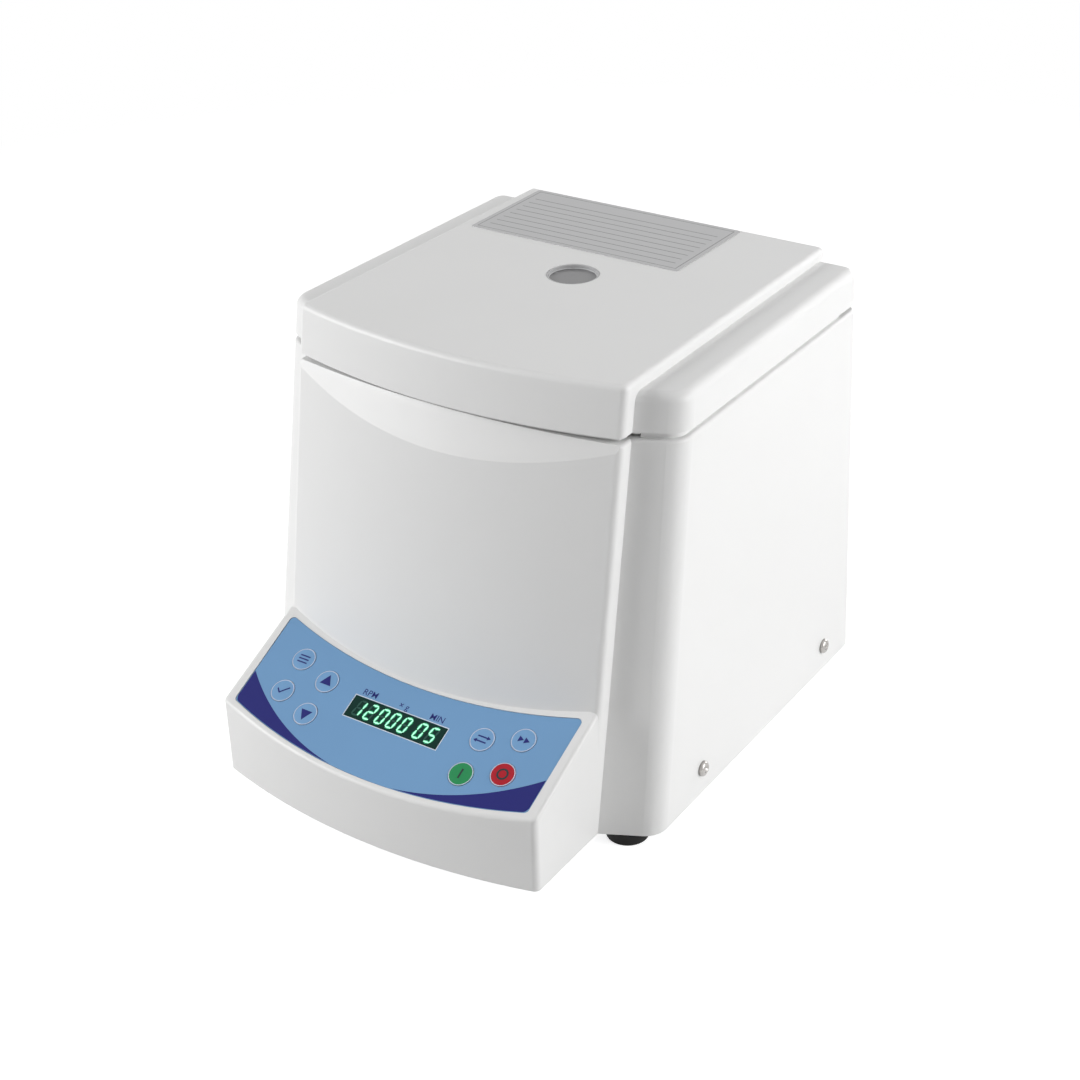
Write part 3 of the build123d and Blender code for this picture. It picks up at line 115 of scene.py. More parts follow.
# The body that each node of screws rides on
SCREW_BODIES = {
    "side_screws": "housing",
    "machine_screws": "housing",
    "deck_screws": "housing",
    "lid_screws": "lid",
    "panel_screws": "housing",
}

# The cross recess as shares of a head's radius, and its turn in radians per metre of that radius
RECESS_DEPTH = 0.55
RECESS_BLADE = 0.26
RECESS_TAPER = (0.45, 0.7)
RECESS_TURN = 900

# The power inlet's pins and the mains rocker, on the rear panel
INLET_X, INLET_Z = 0.062, 0.046
PIN_PLACES = ((-0.007, -0.002), (0.007, -0.002), (0.0, 0.002))
PIN_SIZE = (0.002, 0.0135, 0.004)
PIN_BEVEL = 0.0006
PIN_SETBACK = 0.0105
ROCKER_PIVOT = Vector((0.062, 0.11155, 0.092))
ROCKER_TILT = radians(10)
ROCKER_HALF_HEIGHT = 0.0085
ROCKER_VALLEY = 0.0016
ROCKER_MIDFACE = 0.0032
ROCKER_PRINT = 0.00005
ON_MARK = (0.0042, 0.0008)
OFF_MARK = (0.0016, 0.0007)

# The floor fades from a shadow catcher to plain white between two distances
FLOOR_HALF = 6
FLOOR_TONE = (0.62, 0.62, 0.62)
FLOOR_GLOW = 0.76
FLOOR_FADE = (0.55, 1.3)
SKY_STRENGTH = 0.10

# Each soft lamp's name, place, width and power
LAMP_AIM = Vector((0, -0.05, 0.13))
LAMPS = (
    ("lamp_left", (-2.0, -1.7, 1.2), 1.5, 62.0),
    ("lamp_right", (1.75, 0.35, 0.75), 1.3, 27.6),
    ("lamp_top", (0.0, 0.1, 1.9), 1.6, 4.6),
    ("lamp_rear", (0.35, 1.9, 0.50), 1.2, 16.0),
)

# The camera that was fitted to the photo; its focal length is in pixels of the photo
PHOTO_WIDTH = 1080
FOCAL_PIXELS = 2059.93
SENSOR_WIDTH = 36.0
CAMERA_PLACE = (0.63786, -0.95200, 0.73625)
CAMERA_TURN = radians(35.034)
CAMERA_RISE = radians(29.152)
CAMERA_ROLL = radians(-1.701)

# Rims and beads: steps round the section, the rim's height over its width, and the share of the
# bead's half width by which it sits in from the lens's edge
TUBE_STEPS = 13
RIM_FLATNESS = 0.7
# The pale bead round the window is a painted highlight: it stands in for the light that the glass's
# edge catches
BEAD_INSET = 0.6

# How deep a mark's foot sits in the key's crown
MARK_SINK = 0.000005


def screen(red, green, blue):
    """A linear colour from the 8-bit one that a screen shows."""
    shown = [value / 255 for value in (red, green, blue)]
    return tuple(v / 12.92 if v <= 0.04045 else ((v + 0.055) / 1.055) ** 2.4 for v in shown)


class CentrifugeColours(bpy.types.PropertyGroup):
    """Colours of the finishes and prints."""

    housing: FloatVectorProperty(
        name="Housing", description="Moulded plastic of the body and the lid", subtype="COLOR",
        default=(0.82, 0.82, 0.815), min=0, max=1)
    film: FloatVectorProperty(
        name="Overlay", description="Pale blue ground of the printed overlay", subtype="COLOR",
        default=screen(118, 162, 205), min=0, max=1)
    band: FloatVectorProperty(
        name="Band", description="Dark band along the overlay's front edge, and the marks",
        subtype="COLOR", default=screen(20, 24, 112), min=0, max=1)
    start: FloatVectorProperty(
        name="Start key", description="Ground of the start key", subtype="COLOR",
        default=screen(30, 140, 82), min=0, max=1)
    stop: FloatVectorProperty(
        name="Stop key", description="Ground of the stop key", subtype="COLOR",
        default=screen(176, 8, 32), min=0, max=1)
    window: FloatVectorProperty(
        name="Display", description="Filter behind which the digits sit", subtype="COLOR",
        default=screen(12, 52, 44), min=0, max=1)
    lit: FloatVectorProperty(
        name="Lit digits", description="Light of the digits", subtype="COLOR",
        default=screen(176, 255, 216), min=0, max=1)
    label: FloatVectorProperty(
        name="Label", description="Satin foil on the lid", subtype="COLOR",
        default=screen(184, 184, 185), min=0, max=1)


class CentrifugeSizes(bpy.types.PropertyGroup):
    """Sizes of the prints and small fittings."""

    print_height: FloatProperty(
        name="Print height", description="How far a print stands over its ground", default=0.00004,
        min=0.00001, max=0.0003, unit="LENGTH", precision=6)
    ring_radius: FloatProperty(
        name="Key ring", description="Half width of the raised rim of each key", default=0.00028,
        min=0.0001, max=0.001, unit="LENGTH", precision=6)
    mark_size: FloatProperty(
        name="Key mark", description="Height of the marks on the keys", default=0.0058,
        min=0.001, max=0.01, unit="LENGTH", precision=5)
    caption_size: FloatProperty(
        name="Caption", description="Height of the captions over the display", default=0.0041,
        min=0.001, max=0.01, unit="LENGTH", precision=5)
    digit_height: FloatProperty(
        name="Digit height", description="Height of a display digit", default=0.0098,
        min=0.004, max=0.013, unit="LENGTH", precision=5)
    digit_width: FloatProperty(
        name="Digit width", description="Width of a display digit between its upright bars",
        default=0.0044, min=0.002, max=0.008, unit="LENGTH", precision=5)
    digit_slant: FloatProperty(
        name="Digit slant", description="How far the digits lean to the right", default=radians(10),
        min=0, max=radians(20), subtype="ANGLE")
    bar_width: FloatProperty(
        name="Digit bar", description="Width of a digit's bars", default=0.00120,
        min=0.0003, max=0.002, unit="LENGTH", precision=5)
    # The window's bead is a pale ring in place of the glass edge's highlight: a painted highlight
    bead_radius: FloatProperty(
        name="Window bead", description="Half width of the bead of sealant round the window",
        default=0.00032, min=0.0001, max=0.001, unit="LENGTH", precision=6)
    recess_width: FloatProperty(
        name="Cross recess", description="Width of the cross in a screw head, as a share of the head",
        default=0.62, min=0.3, max=0.9, subtype="FACTOR")
    ring_segments: IntProperty(
        name="Ring segments", description="Steps round a turned piece", default=96, min=24, max=256)


class Value:
    """A socket of a finish that takes part in plain arithmetic."""

    def __init__(self, finish, socket):
        self.finish = finish
        self.socket = socket

    def __add__(self, other):
        return self.finish.maths("ADD", self, other)

    __radd__ = __add__

    def __sub__(self, other):
        return self.finish.maths("SUBTRACT", self, other)

    def __rsub__(self, other):
        return self.finish.maths("SUBTRACT", other, self)

    def __mul__(self, other):
        return self.finish.maths("MULTIPLY", self, other)

    __rmul__ = __mul__

    def __pow__(self, other):
        return self.finish.maths("POWER", self, other)

    def __lt__(self, other):
        return self.finish.maths("LESS_THAN", self, other)

    def __gt__(self, other):
        return self.finish.maths("GREATER_THAN", self, other)


class Finish:
    """A material: its shader, and the nodes that vary it over a surface."""

    def __init__(self, name, **constants):
        self.material = bpy.data.materials.new(name)
        self.material.use_nodes = True
        self.tree = self.material.node_tree
        self.shader = self.tree.nodes["Principled BSDF"]
        for label, value in constants.items():
            self.feed(self.shader.inputs[label.replace("_", " ").title().replace("Ior", "IOR")], value)

    def feed(self, socket, value):
        """Link a value to a socket, or set the socket to a plain number or colour."""
        if isinstance(value, Value):
            self.tree.links.new(value.socket, socket)
        elif hasattr(value, "__len__") and len(value) == 3 and socket.type == "RGBA":
            socket.default_value = (*value, 1.0)
        else:
            socket.default_value = value

    def node(self, kind, settings, sockets):
        """Add a node: its settings first, then the values or links of its sockets."""
        made = self.tree.nodes.new(kind)
        for label, value in settings.items():
            setattr(made, label, value)
        for label, value in sockets.items():
            self.feed(made.inputs[label], value)
        return made

    def output(self, kind, settings, sockets, label=0):
        """Add a node and give one of its outputs."""
        return Value(self, self.node(kind, settings, sockets).outputs[label])

    def maths(self, operation, *values):
        return self.output("ShaderNodeMath", {"operation": operation}, dict(enumerate(values)))

    def coordinates(self):
        """Object coordinates as one vector."""
        return self.output("ShaderNodeTexCoord", {}, {}, "Object")

    def place(self):
        """Object coordinates as three values."""
        parts = self.node("ShaderNodeSeparateXYZ", {}, {0: self.coordinates()})
        return [Value(self, parts.outputs[axis]) for axis in "XYZ"]

    def vector(self, x, y, z):
        return self.output("ShaderNodeCombineXYZ", {}, {0: x, 1: y, 2: z})

    def noise(self, scale, detail=2.0, at=None):
        """Noise of a number of cells per metre, from 0 to 1."""
        at = at or self.coordinates()
        return self.output("ShaderNodeTexNoise", {}, {"Vector": at, "Scale": scale, "Detail": detail})

    def cells(self, scale, randomness, at, distance):
        """How far each point lies from the middle of its cell."""
        sockets = {"Vector": at, "Scale": scale, "Randomness": randomness}
        return self.output("ShaderNodeTexVoronoi", {"distance": distance}, sockets, "Distance")

    def ramp(self, value, low, high):
        """The value spread so that low gives 0 and high gives 1."""
        return self.output("ShaderNodeMapRange", {}, {0: value, 1: low, 2: high})

    def blend(self, share, first, second):
        """A mix of two colours."""
        return self.output("ShaderNodeMix", {"data_type": "RGBA"}, {0: share, 6: first, 7: second}, 2)

    def colour(self, value):
        self.feed(self.shader.inputs["Base Color"], value)

    def rough(self, value):
        self.feed(self.shader.inputs["Roughness"], value)

    def bump(self, height, depth):
        """Bump from a height from 0 to 1 and its depth in metres."""
        sockets = {"Height": height, "Distance": depth, "Strength": 1.0}
        self.feed(self.shader.inputs["Normal"], self.output("ShaderNodeBump", {}, sockets))

    def turned(self, pitch):
        """Fine rings round the rotor's axis, from 0 to 1."""
        x, y, z = self.place()
        radius = (x * x + y * y) ** 0.5
        return self.noise(1 / pitch, 3.0, self.vector(radius, 0.0, z))


def tinted(colour, factor):
    """A colour made lighter or darker."""
    return tuple(min(1.0, channel * factor) for channel in colour)


def moulded(name, colour, roughness, grain=0.00035, depth=0.000012):
    """Moulded plastic with a fine spark-eroded grain and faint clouding."""
    finish = Finish(name, ior=1.49)
    cloud = finish.noise(11.0, 3.0)
    finish.colour(finish.blend(cloud, tinted(colour, 0.975), tinted(colour, 1.01)))
    finish.rough(roughness + 0.10 * (finish.noise(70.0, 3.0) - 0.5))
    finish.bump(finish.noise(1 / grain, 2.0), depth)
    return finish


def bare_metal(name, colour, roughness):
    """Metal with a mottled sheen and fine scratches."""
    finish = Finish(name, metallic=1.0)
    patches = finish.noise(45.0, 4.0)
    finish.colour(finish.blend(patches, tinted(colour, 0.86), tinted(colour, 1.08)))
    finish.rough(roughness + 0.12 * (finish.noise(160.0, 4.0) - 0.5))
    finish.bump(finish.noise(1 / 0.0006, 3.0), 0.000006)
    return finish


def zinc_sheet():
    """Zinc-plated sheet with its pale spangle."""
    finish = Finish("zinc_sheet", metallic=1.0)
    spangle = finish.cells(190.0, 1.0, finish.coordinates(), "EUCLIDEAN")
    tone = finish.maths("FRACT", spangle * 7.0)
    finish.colour(finish.blend(tone, (0.50, 0.51, 0.52), (0.66, 0.67, 0.68)))
    finish.rough(0.34 + 0.14 * tone)
    finish.bump(finish.noise(900.0, 2.0), 0.000008)
    return finish


def spun_metal(name, colour, roughness, pitch, depth):
    """Metal turned or spun round the rotor's axis, with its fine rings."""
    finish = Finish(name, metallic=1.0)
    rings = finish.turned(pitch)
    finish.colour(finish.blend(rings, tinted(colour, 0.88), tinted(colour, 1.06)))
    finish.rough(roughness + 0.16 * (rings - 0.5) + 0.06 * (finish.noise(35.0, 3.0) - 0.5))
    finish.bump(rings, depth)
    return finish


def stacked_sheets():
    """The edges of stacked iron sheets under a thin varnish."""
    finish = Finish("stacked_sheets", metallic=0.7)
    z = finish.place()[2]
    layers = finish.maths("PINGPONG", z * 1600.0, 1.0)
    edge = finish.ramp(layers, 0.15, 0.5)
    finish.colour(finish.blend(edge, (0.03, 0.026, 0.022), (0.16, 0.14, 0.12)))
    finish.rough(0.42 + 0.15 * finish.noise(90.0))
    finish.bump(layers, 0.00005)
    return finish


def soft_rubber():
    """Black rubber with a dusty bloom."""
    finish = Finish("soft_rubber", ior=1.45, specular_ior_level=0.2)
    bloom = finish.noise(60.0, 4.0)
    finish.colour(finish.blend(bloom, (0.010, 0.010, 0.010), (0.030, 0.030, 0.029)))
    finish.rough(0.62 + 0.2 * bloom)
    finish.bump(finish.noise(1400.0, 2.0), 0.00002)
    return finish


def enamel(name, colour, roughness):
    """Sprayed enamel with a slight orange peel."""
    finish = Finish(name, coat_weight=0.15, coat_roughness=0.2)
    cloud = finish.noise(25.0, 3.0)
    finish.colour(finish.blend(cloud, tinted(colour, 0.9), tinted(colour, 1.08)))
    finish.rough(roughness + 0.08 * (finish.noise(120.0) - 0.5))
    finish.bump(finish.noise(420.0, 1.0), 0.00003)
    return finish


def solder_mask():
    """A circuit board's green lacquer over its copper tracks."""
    finish = Finish("solder_mask", coat_weight=0.3, coat_roughness=0.15)
    x, y = finish.place()[:2]
    blocks = finish.cells(160.0, 0.7, finish.vector(x, y * 1.4, 0.0), "CHEBYCHEV")
    tracks = finish.ramp(blocks, 0.42, 0.48)
    finish.colour(finish.blend(tracks, (0.012, 0.085, 0.035), (0.03, 0.19, 0.08)))
    finish.rough(0.35 + 0.1 * finish.noise(200.0))
    finish.bump(tracks, 0.00003)
    return finish


def smoky_window():
    """The grey see-through disc in the lid, with faint wiping marks."""
    finish = Finish("smoky_window", base_color=(0.30, 0.30, 0.305), ior=1.49, transmission_weight=0.35)
    finish.rough(0.16 + 0.08 * finish.noise(220.0, 5.0))
    return finish


def label_foil(colour):
    """Satin foil with a printed frame and plain ruled lines."""
    finish = Finish("label_foil", metallic=0.35)
    x, y = finish.place()[:2]
    low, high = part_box("label_plate")
    middle, half = (low + high) / 2, (high - low) / 2
    across = finish.maths("ABSOLUTE", x - middle.x)
    along = finish.maths("ABSOLUTE", y - middle.y)
    lines = finish.maths("PINGPONG", y - high.y + LABEL_FIRST_LINE, LABEL_LINE_PITCH) < LABEL_LINE_HALF
    inside = across < half.x - LABEL_MARGINS["side"]
    below, above = y < high.y - LABEL_MARGINS["top"], y > low.y + LABEL_MARGINS["foot"]
    ruled = lines * inside * below * above
    frame_x, frame_y = half.x - LABEL_FRAME_INSET, half.y - LABEL_FRAME_INSET
    upright = finish.maths("ABSOLUTE", across - frame_x) < LABEL_FRAME_HALF
    level = finish.maths("ABSOLUTE", along - frame_y) < LABEL_FRAME_HALF
    ends_y, ends_x = along < frame_y + LABEL_FRAME_HALF, across < frame_x + LABEL_FRAME_HALF
    framed = upright * ends_y + level * ends_x
    ink = finish.maths("MINIMUM", ruled + framed, 1.0)
    brushed = finish.noise(1.0, 2.0, finish.vector(x * 30.0, y * 2400.0, 0.0))
    ground = finish.blend(brushed, tinted(colour, 0.93), tinted(colour, 1.05))
    finish.colour(finish.blend(ink, ground, tinted(colour, 0.28)))
    finish.rough(0.36 + 0.12 * brushed)
    finish.bump(brushed, 0.000004)
    return finish


def printed_film(name, colour):
    """Printed polyester film: a fine matt grain under the colour."""
    finish = Finish(name, specular_ior_level=0.3)
    cloud = finish.noise(16.0, 2.0)
    finish.colour(finish.blend(cloud, tinted(colour, 0.96), tinted(colour, 1.03)))
    finish.rough(0.34 + 0.08 * (finish.noise(260.0, 3.0) - 0.5))
    finish.bump(finish.noise(4200.0, 1.0), 0.000003)
    return finish


def glossy_filter(colour):
    """The dark filter over the digits: smooth, with the faintest smears."""
    finish = Finish("display_window", ior=1.49, specular_ior_level=0.12)
    smears = finish.noise(70.0, 3.0)
    finish.colour(finish.blend(smears, tinted(colour, 0.85), tinted(colour, 1.15)))
    finish.rough(0.10 + 0.08 * smears)
    finish.bump(finish.noise(300.0, 1.0), 0.000002)
    return finish


def lamp(name, colour, strength):
    """A glowing print, a little uneven along its length."""
    finish = Finish(name, roughness=0.3, base_color=tinted(colour, 0.25), emission_strength=strength)
    spots = finish.noise(900.0, 1.0)
    glow = finish.blend(spots, tinted(colour, 0.8), colour)
    finish.feed(finish.shader.inputs["Emission Color"], glow)
    return finish


def mesh_of(bm, name):
    """Turn a bmesh into a mesh, and free it."""
    mesh = bpy.data.meshes.new(name)
    bm.to_mesh(mesh)
    bm.free()
    return mesh


def shown(name, data):
    """Put an object of some data into the scene."""
    made = bpy.data.objects.new(name, data)
    bpy.context.scene.collection.objects.link(made)
    return made


def piece(name, bm, finish, body):
    """Make an object of a bmesh, and let it ride on a body."""
    mesh = mesh_of(bm, name)
    mesh.materials.append(finish.material)
    made = shown(name, mesh)
    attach(made, body)
    return made


def panel_matrix(x, s, height):
    """Stands a flat shape on the console's panel, its own X across and its Y up the slope."""
    up_slope = Vector((0, cos(PANEL_SLOPE), sin(PANEL_SLOPE)))
    normal = Vector((0, -sin(PANEL_SLOPE), cos(PANEL_SLOPE)))
    turned = Matrix((Vector((1, 0, 0)), up_slope, normal)).transposed().to_4x4()
    place = PANEL_CORNER + Vector((x, 0, 0)) + up_slope * s + normal * height
    return Matrix.Translation(place) @ turned


def thicken(bm, height):
    """Give a flat print its thickness, upwards from where it lies."""
    bmesh.ops.recalc_face_normals(bm, faces=bm.faces)
    if sum(face.normal.z * face.calc_area() for face in bm.faces) < 0:
        bmesh.ops.reverse_faces(bm, faces=bm.faces)
    raised = bmesh.ops.extrude_face_region(bm, geom=bm.faces[:], use_keep_orig=True)
    top = [part for part in raised["geom"] if isinstance(part, bmesh.types.BMVert)]
    bmesh.ops.translate(bm, verts=top, vec=(0, 0, height))
    bmesh.ops.recalc_face_normals(bm, faces=bm.faces)


def turned_tube(middle, height, half_width, half_height, segments):
    """A ring about Z with an oval section, its middle at a radius and a height."""
    bm = bmesh.new()
    corners = []
    for i in range(TUBE_STEPS):
        angle = 2 * pi * i / TUBE_STEPS
        spot = (middle + half_width * cos(angle), 0, height + half_height * sin(angle))
        corners.append(bm.verts.new(spot))
    edges = [bm.edges.new((corners[i - 1], corners[i])) for i in range(TUBE_STEPS)]
    bmesh.ops.spin(bm, geom=corners + edges, cent=(0, 0, 0), axis=(0, 0, 1), angle=2 * pi,
                   steps=segments, use_merge=True)
    bmesh.ops.remove_doubles(bm, verts=bm.verts, dist=1e-7)
    bmesh.ops.recalc_face_normals(bm, faces=bm.faces)
    return bm


def strip(left, right, columns, low, high):
    """A flat strip from left to right whose lower and upper edges follow two functions of x."""
    bm = bmesh.new()
    bmesh.ops.create_grid(bm, x_segments=columns, y_segments=1, size=0.5)
    for vert in bm.verts:
        x = left + (vert.co.x + 0.5) * (right - left)
        vert.co = (x, high(x) if vert.co.y > 0 else low(x), 0)
    return bm


def text_outline(words, size, height):
    """Lettering as a mesh, centred, its foot on the line."""
    curve = bpy.data.curves.new("lettering", "FONT")
    curve.body = words
    curve.size = size
    curve.align_x = "CENTER"
    curve.offset = size * 0.002
    curve.extrude = height / 2
    holder = shown("lettering", curve)
    bpy.context.view_layer.update()
    mesh = bpy.data.meshes.new_from_object(holder)
    bpy.data.objects.remove(holder)
    bm = bmesh.new()
    bm.from_mesh(mesh)
    bpy.data.meshes.remove(mesh)
    bmesh.ops.remove_doubles(bm, verts=bm.verts, dist=1e-7)
    bmesh.ops.translate(bm, verts=bm.verts, vec=(0, 0, height / 2))
    return bm


def polygon(sides, radius):
    """A filled regular outline, lying flat."""
    bm = bmesh.new()
    bmesh.ops.create_circle(bm, cap_ends=True, segments=sides, radius=radius)
    return bm


def bar(length, width, tip=True):
    """A flat bar along X, with pointed or square ends."""
    if tip:
        radius = width / 2 / sin(pi / 3)
        bm = polygon(6, radius)
        for vert in bm.verts:
            if abs(vert.co.x) > 1e-9:
                vert.co.x += (length / 2 - radius) * (1 if vert.co.x > 0 else -1)
    else:
        bm = bmesh.new()
        bmesh.ops.create_grid(bm, x_segments=1, y_segments=1, size=0.5)
        bmesh.ops.scale(bm, verts=bm.verts, vec=(length, width, 1))
    return bm


def hoop(radius, width, segments):
    """A flat ring."""
    bm = bmesh.new()
    bmesh.ops.create_circle(bm, segments=segments, radius=radius)
    outer = bmesh.ops.extrude_edge_only(bm, edges=bm.edges[:])
    grown = [part for part in outer["geom"] if isinstance(part, bmesh.types.BMVert)]
    share = (radius + width) / radius
    bmesh.ops.scale(bm, verts=grown, vec=(share, share, 1))
    return bm


def add_shape(bm, shape, matrix):
    """Put a copy of a shape, moved by a matrix, into a bmesh, and free the shape."""
    shape.transform(matrix)
    mesh = mesh_of(shape, "part")
    bm.from_mesh(mesh)
    bpy.data.meshes.remove(mesh)


def rounded_low(x, inset):
    """The overlay's front edge, moved in by an inset, with its rounded corners."""
    radius = OVERLAY_BOW - inset
    centre = OVERLAY_LOW + sqrt(OVERLAY_BOW**2 - OVERLAY_HALF_WIDTH**2)
    low = centre - sqrt(radius**2 - x * x)
    reach = abs(x) - (OVERLAY_HALF_WIDTH - inset - OVERLAY_CORNER)
    if reach > 0:
        low += OVERLAY_CORNER - sqrt(max(OVERLAY_CORNER**2 - reach**2, 0))
    return low


def band_top(x):
    """The band's inner edge: an arc that meets the overlay's front edge about the middle."""
    return BAND_FOOT + BAND_BOW - sqrt(BAND_BOW**2 - x * x)


class CENTRIFUGE_OT_finishes(bpy.types.Operator):
    """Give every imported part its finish"""

    bl_idname = "centrifuge.finishes"
    bl_label = "Finishes"

    def execute(self, context):
        colours = context.scene.centrifuge_colours
        white = tuple(colours.housing)
        finishes = {
            "housing_plastic": moulded("housing_plastic", white, 0.40),
            "liner_plastic": moulded("liner_plastic", tinted(white, 0.86), 0.46),
            "rubber": soft_rubber(),
            "zinc_steel": zinc_sheet(),
            "screw_steel": bare_metal("screw_steel", (0.52, 0.51, 0.49), 0.26),
            "stainless": spun_metal("stainless", (0.52, 0.52, 0.515), 0.27, 0.0012, 0.000006),
            "motor_enamel": enamel("motor_enamel", (0.035, 0.038, 0.042), 0.42),
            "laminations": stacked_sheets(),
            "rotor_alloy": spun_metal("rotor_alloy", (0.60, 0.61, 0.62), 0.32, 0.0009, 0.000008),
            "knob_plastic": moulded("knob_plastic", (0.022, 0.022, 0.024), 0.42, 0.0005, 0.00002),
            "window_glass": smoky_window(),
            "bezel_plastic": moulded("bezel_plastic", (0.48, 0.48, 0.485), 0.34),
            "label_foil": label_foil(tuple(colours.label)),
            "overlay_film": printed_film("overlay_film", tuple(colours.film)),
            "display_window": glossy_filter(tuple(colours.window)),
            "key_blue": printed_film("key_blue", tinted(tuple(colours.film), 1.04)),
            "key_green": printed_film("key_green", tuple(colours.start)),
            "key_red": printed_film("key_red", tuple(colours.stop)),
            "circuit_board": solder_mask(),
            "black_plastic": moulded("black_plastic", (0.018, 0.018, 0.019), 0.38, 0.0004, 0.000015),
            "panel_paint": enamel("panel_paint", (0.62, 0.62, 0.61), 0.45),
            "heat_sink_black": bare_metal("heat_sink_black", (0.03, 0.03, 0.032), 0.5),
        }
        for subpart in frame["record"]["subparts"]:
            materials = nodes[subpart["node"]].data.materials
            materials.clear()
            materials.append(finishes[subpart["material_slot"]].material)
        return {"FINISHED"}


class CENTRIFUGE_OT_screws(bpy.types.Operator):
    """Cut a cross recess into every screw head"""

    bl_idname = "centrifuge.screws"
    bl_label = "Screws"

    def execute(self, context):
        share = context.scene.centrifuge_sizes.recess_width
        finish = bare_metal("bright_screws", (0.40, 0.385, 0.37), 0.20)
        for node, body in SCREW_BODIES.items():
            self.recess(node, share, finish, body)
        return {"FINISHED"}

    def recess(self, node, share, finish, body):
        """Replace a node's screws with copies that have a cross recess."""
        bm = bmesh.new()
        bm.from_mesh(nodes[node].data)
        bmesh.ops.remove_doubles(bm, verts=bm.verts, dist=1e-6)
        cutters = [bmesh.new(), bmesh.new()]
        for verts in islands(bm):
            top, axis, radius = screw_head(verts)
            matrix = Matrix.Translation(top) @ axis.to_track_quat("Z", "Y").to_matrix().to_4x4()
            for turn, cutter in enumerate(cutters):
                angle = turn * pi / 2 + radius * RECESS_TURN
                add_shape(cutter, self.blade(radius, share), matrix @ Matrix.Rotation(angle, 4, "Z"))
        made = piece(node + "_crossed", bm, finish, body)
        for cutter in cutters:
            tool = shown("cutter", mesh_of(cutter, "cutter"))
            cut = made.modifiers.new("cross", "BOOLEAN")
            cut.operation = "DIFFERENCE"
            cut.solver = "EXACT"
            cut.object = tool
            bpy.context.view_layer.update()
            evaluated = made.evaluated_get(bpy.context.evaluated_depsgraph_get())
            mesh = bpy.data.meshes.new_from_object(evaluated)
            made.modifiers.clear()
            made.data = mesh
            bpy.data.objects.remove(tool)
        smooth(made, 35)
        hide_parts(node)

    def blade(self, radius, share):
        """One bar of the cross for a head of a radius, narrower at its foot."""
        blade = bmesh.new()
        bmesh.ops.create_cube(blade, size=1)
        size = (radius * 2 * share, radius * RECESS_BLADE, radius * RECESS_DEPTH * 2)
        bmesh.ops.scale(blade, verts=blade.verts, vec=size)
        for vert in blade.verts:
            if vert.co.z < 0:
                vert.co.x *= RECESS_TAPER[0]
                vert.co.y *= RECESS_TAPER[1]
        return blade


def islands(bm):
    """The vertices of each separate solid in a bmesh."""
    left = set(bm.verts)
    while left:
        start = left.pop()
        found, queue = {start}, [start]
        while queue:
            for edge in queue.pop().link_edges:
                for vert in edge.verts:
                    if vert not in found:
                        found.add(vert)
                        queue.append(vert)
        left -= found
        yield list(found)


def screw_head(verts):
    """Where a screw's head ends, which way it faces, and its radius."""
    points = np.array([vert.co for vert in verts])
    middle = points.mean(0)
    spread, directions = np.linalg.eigh(np.cov((points - middle).T))
    lone = 2 if abs(spread[0] - spread[1]) < abs(spread[1] - spread[2]) else 0
    axis = directions[:, lone]
    along = (points - middle) @ axis
    away = np.linalg.norm(points - middle - np.outer(along, axis), axis=1)
    radius = away.max()
    if along[away > radius * 0.98].mean() < (along.max() + along.min()) / 2:
        axis, along = -axis, -along
    top = middle + axis * along.max()
    return Vector(top), Vector(axis), float(radius)


def smooth(made, degrees):
    """Shade smooth, with creases where faces meet more sharply than an angle."""
    made.data.shade_smooth()
    made.data.set_sharp_from_angle(angle=radians(degrees))


class CENTRIFUGE_OT_overlay_print(bpy.types.Operator):
    """Print the dark curved band along the overlay's front edge"""

    bl_idname = "centrifuge.overlay_print"
    bl_label = "Overlay print"

    def execute(self, context):
        colours = context.scene.centrifuge_colours
        band = bmesh.new()
        edge = OVERLAY_HALF_WIDTH - BAND_INSET
        for left, right in ((-edge, -BAND_START), (BAND_START, edge)):
            horn = strip(left, right, BAND_COLUMNS, lambda x: rounded_low(x, BAND_INSET),
                         lambda x: max(band_top(x), rounded_low(x, BAND_INSET)))
            add_shape(band, horn, Matrix.Identity(4))
        bmesh.ops.dissolve_degenerate(band, dist=1e-7, edges=band.edges)
        thicken(band, context.scene.centrifuge_sizes.print_height)
        band.transform(panel_matrix(0, 0, OVERLAY_TOP))
        ink = printed_film("band_ink", tuple(colours.band))
        piece("overlay_band", band, ink, "housing")
        return {"FINISHED"}


def crown_fall(away):
    """How far a key's crowned top has fallen at a distance from its middle."""
    return KEY_CROWN - sqrt(KEY_CROWN**2 - away**2)


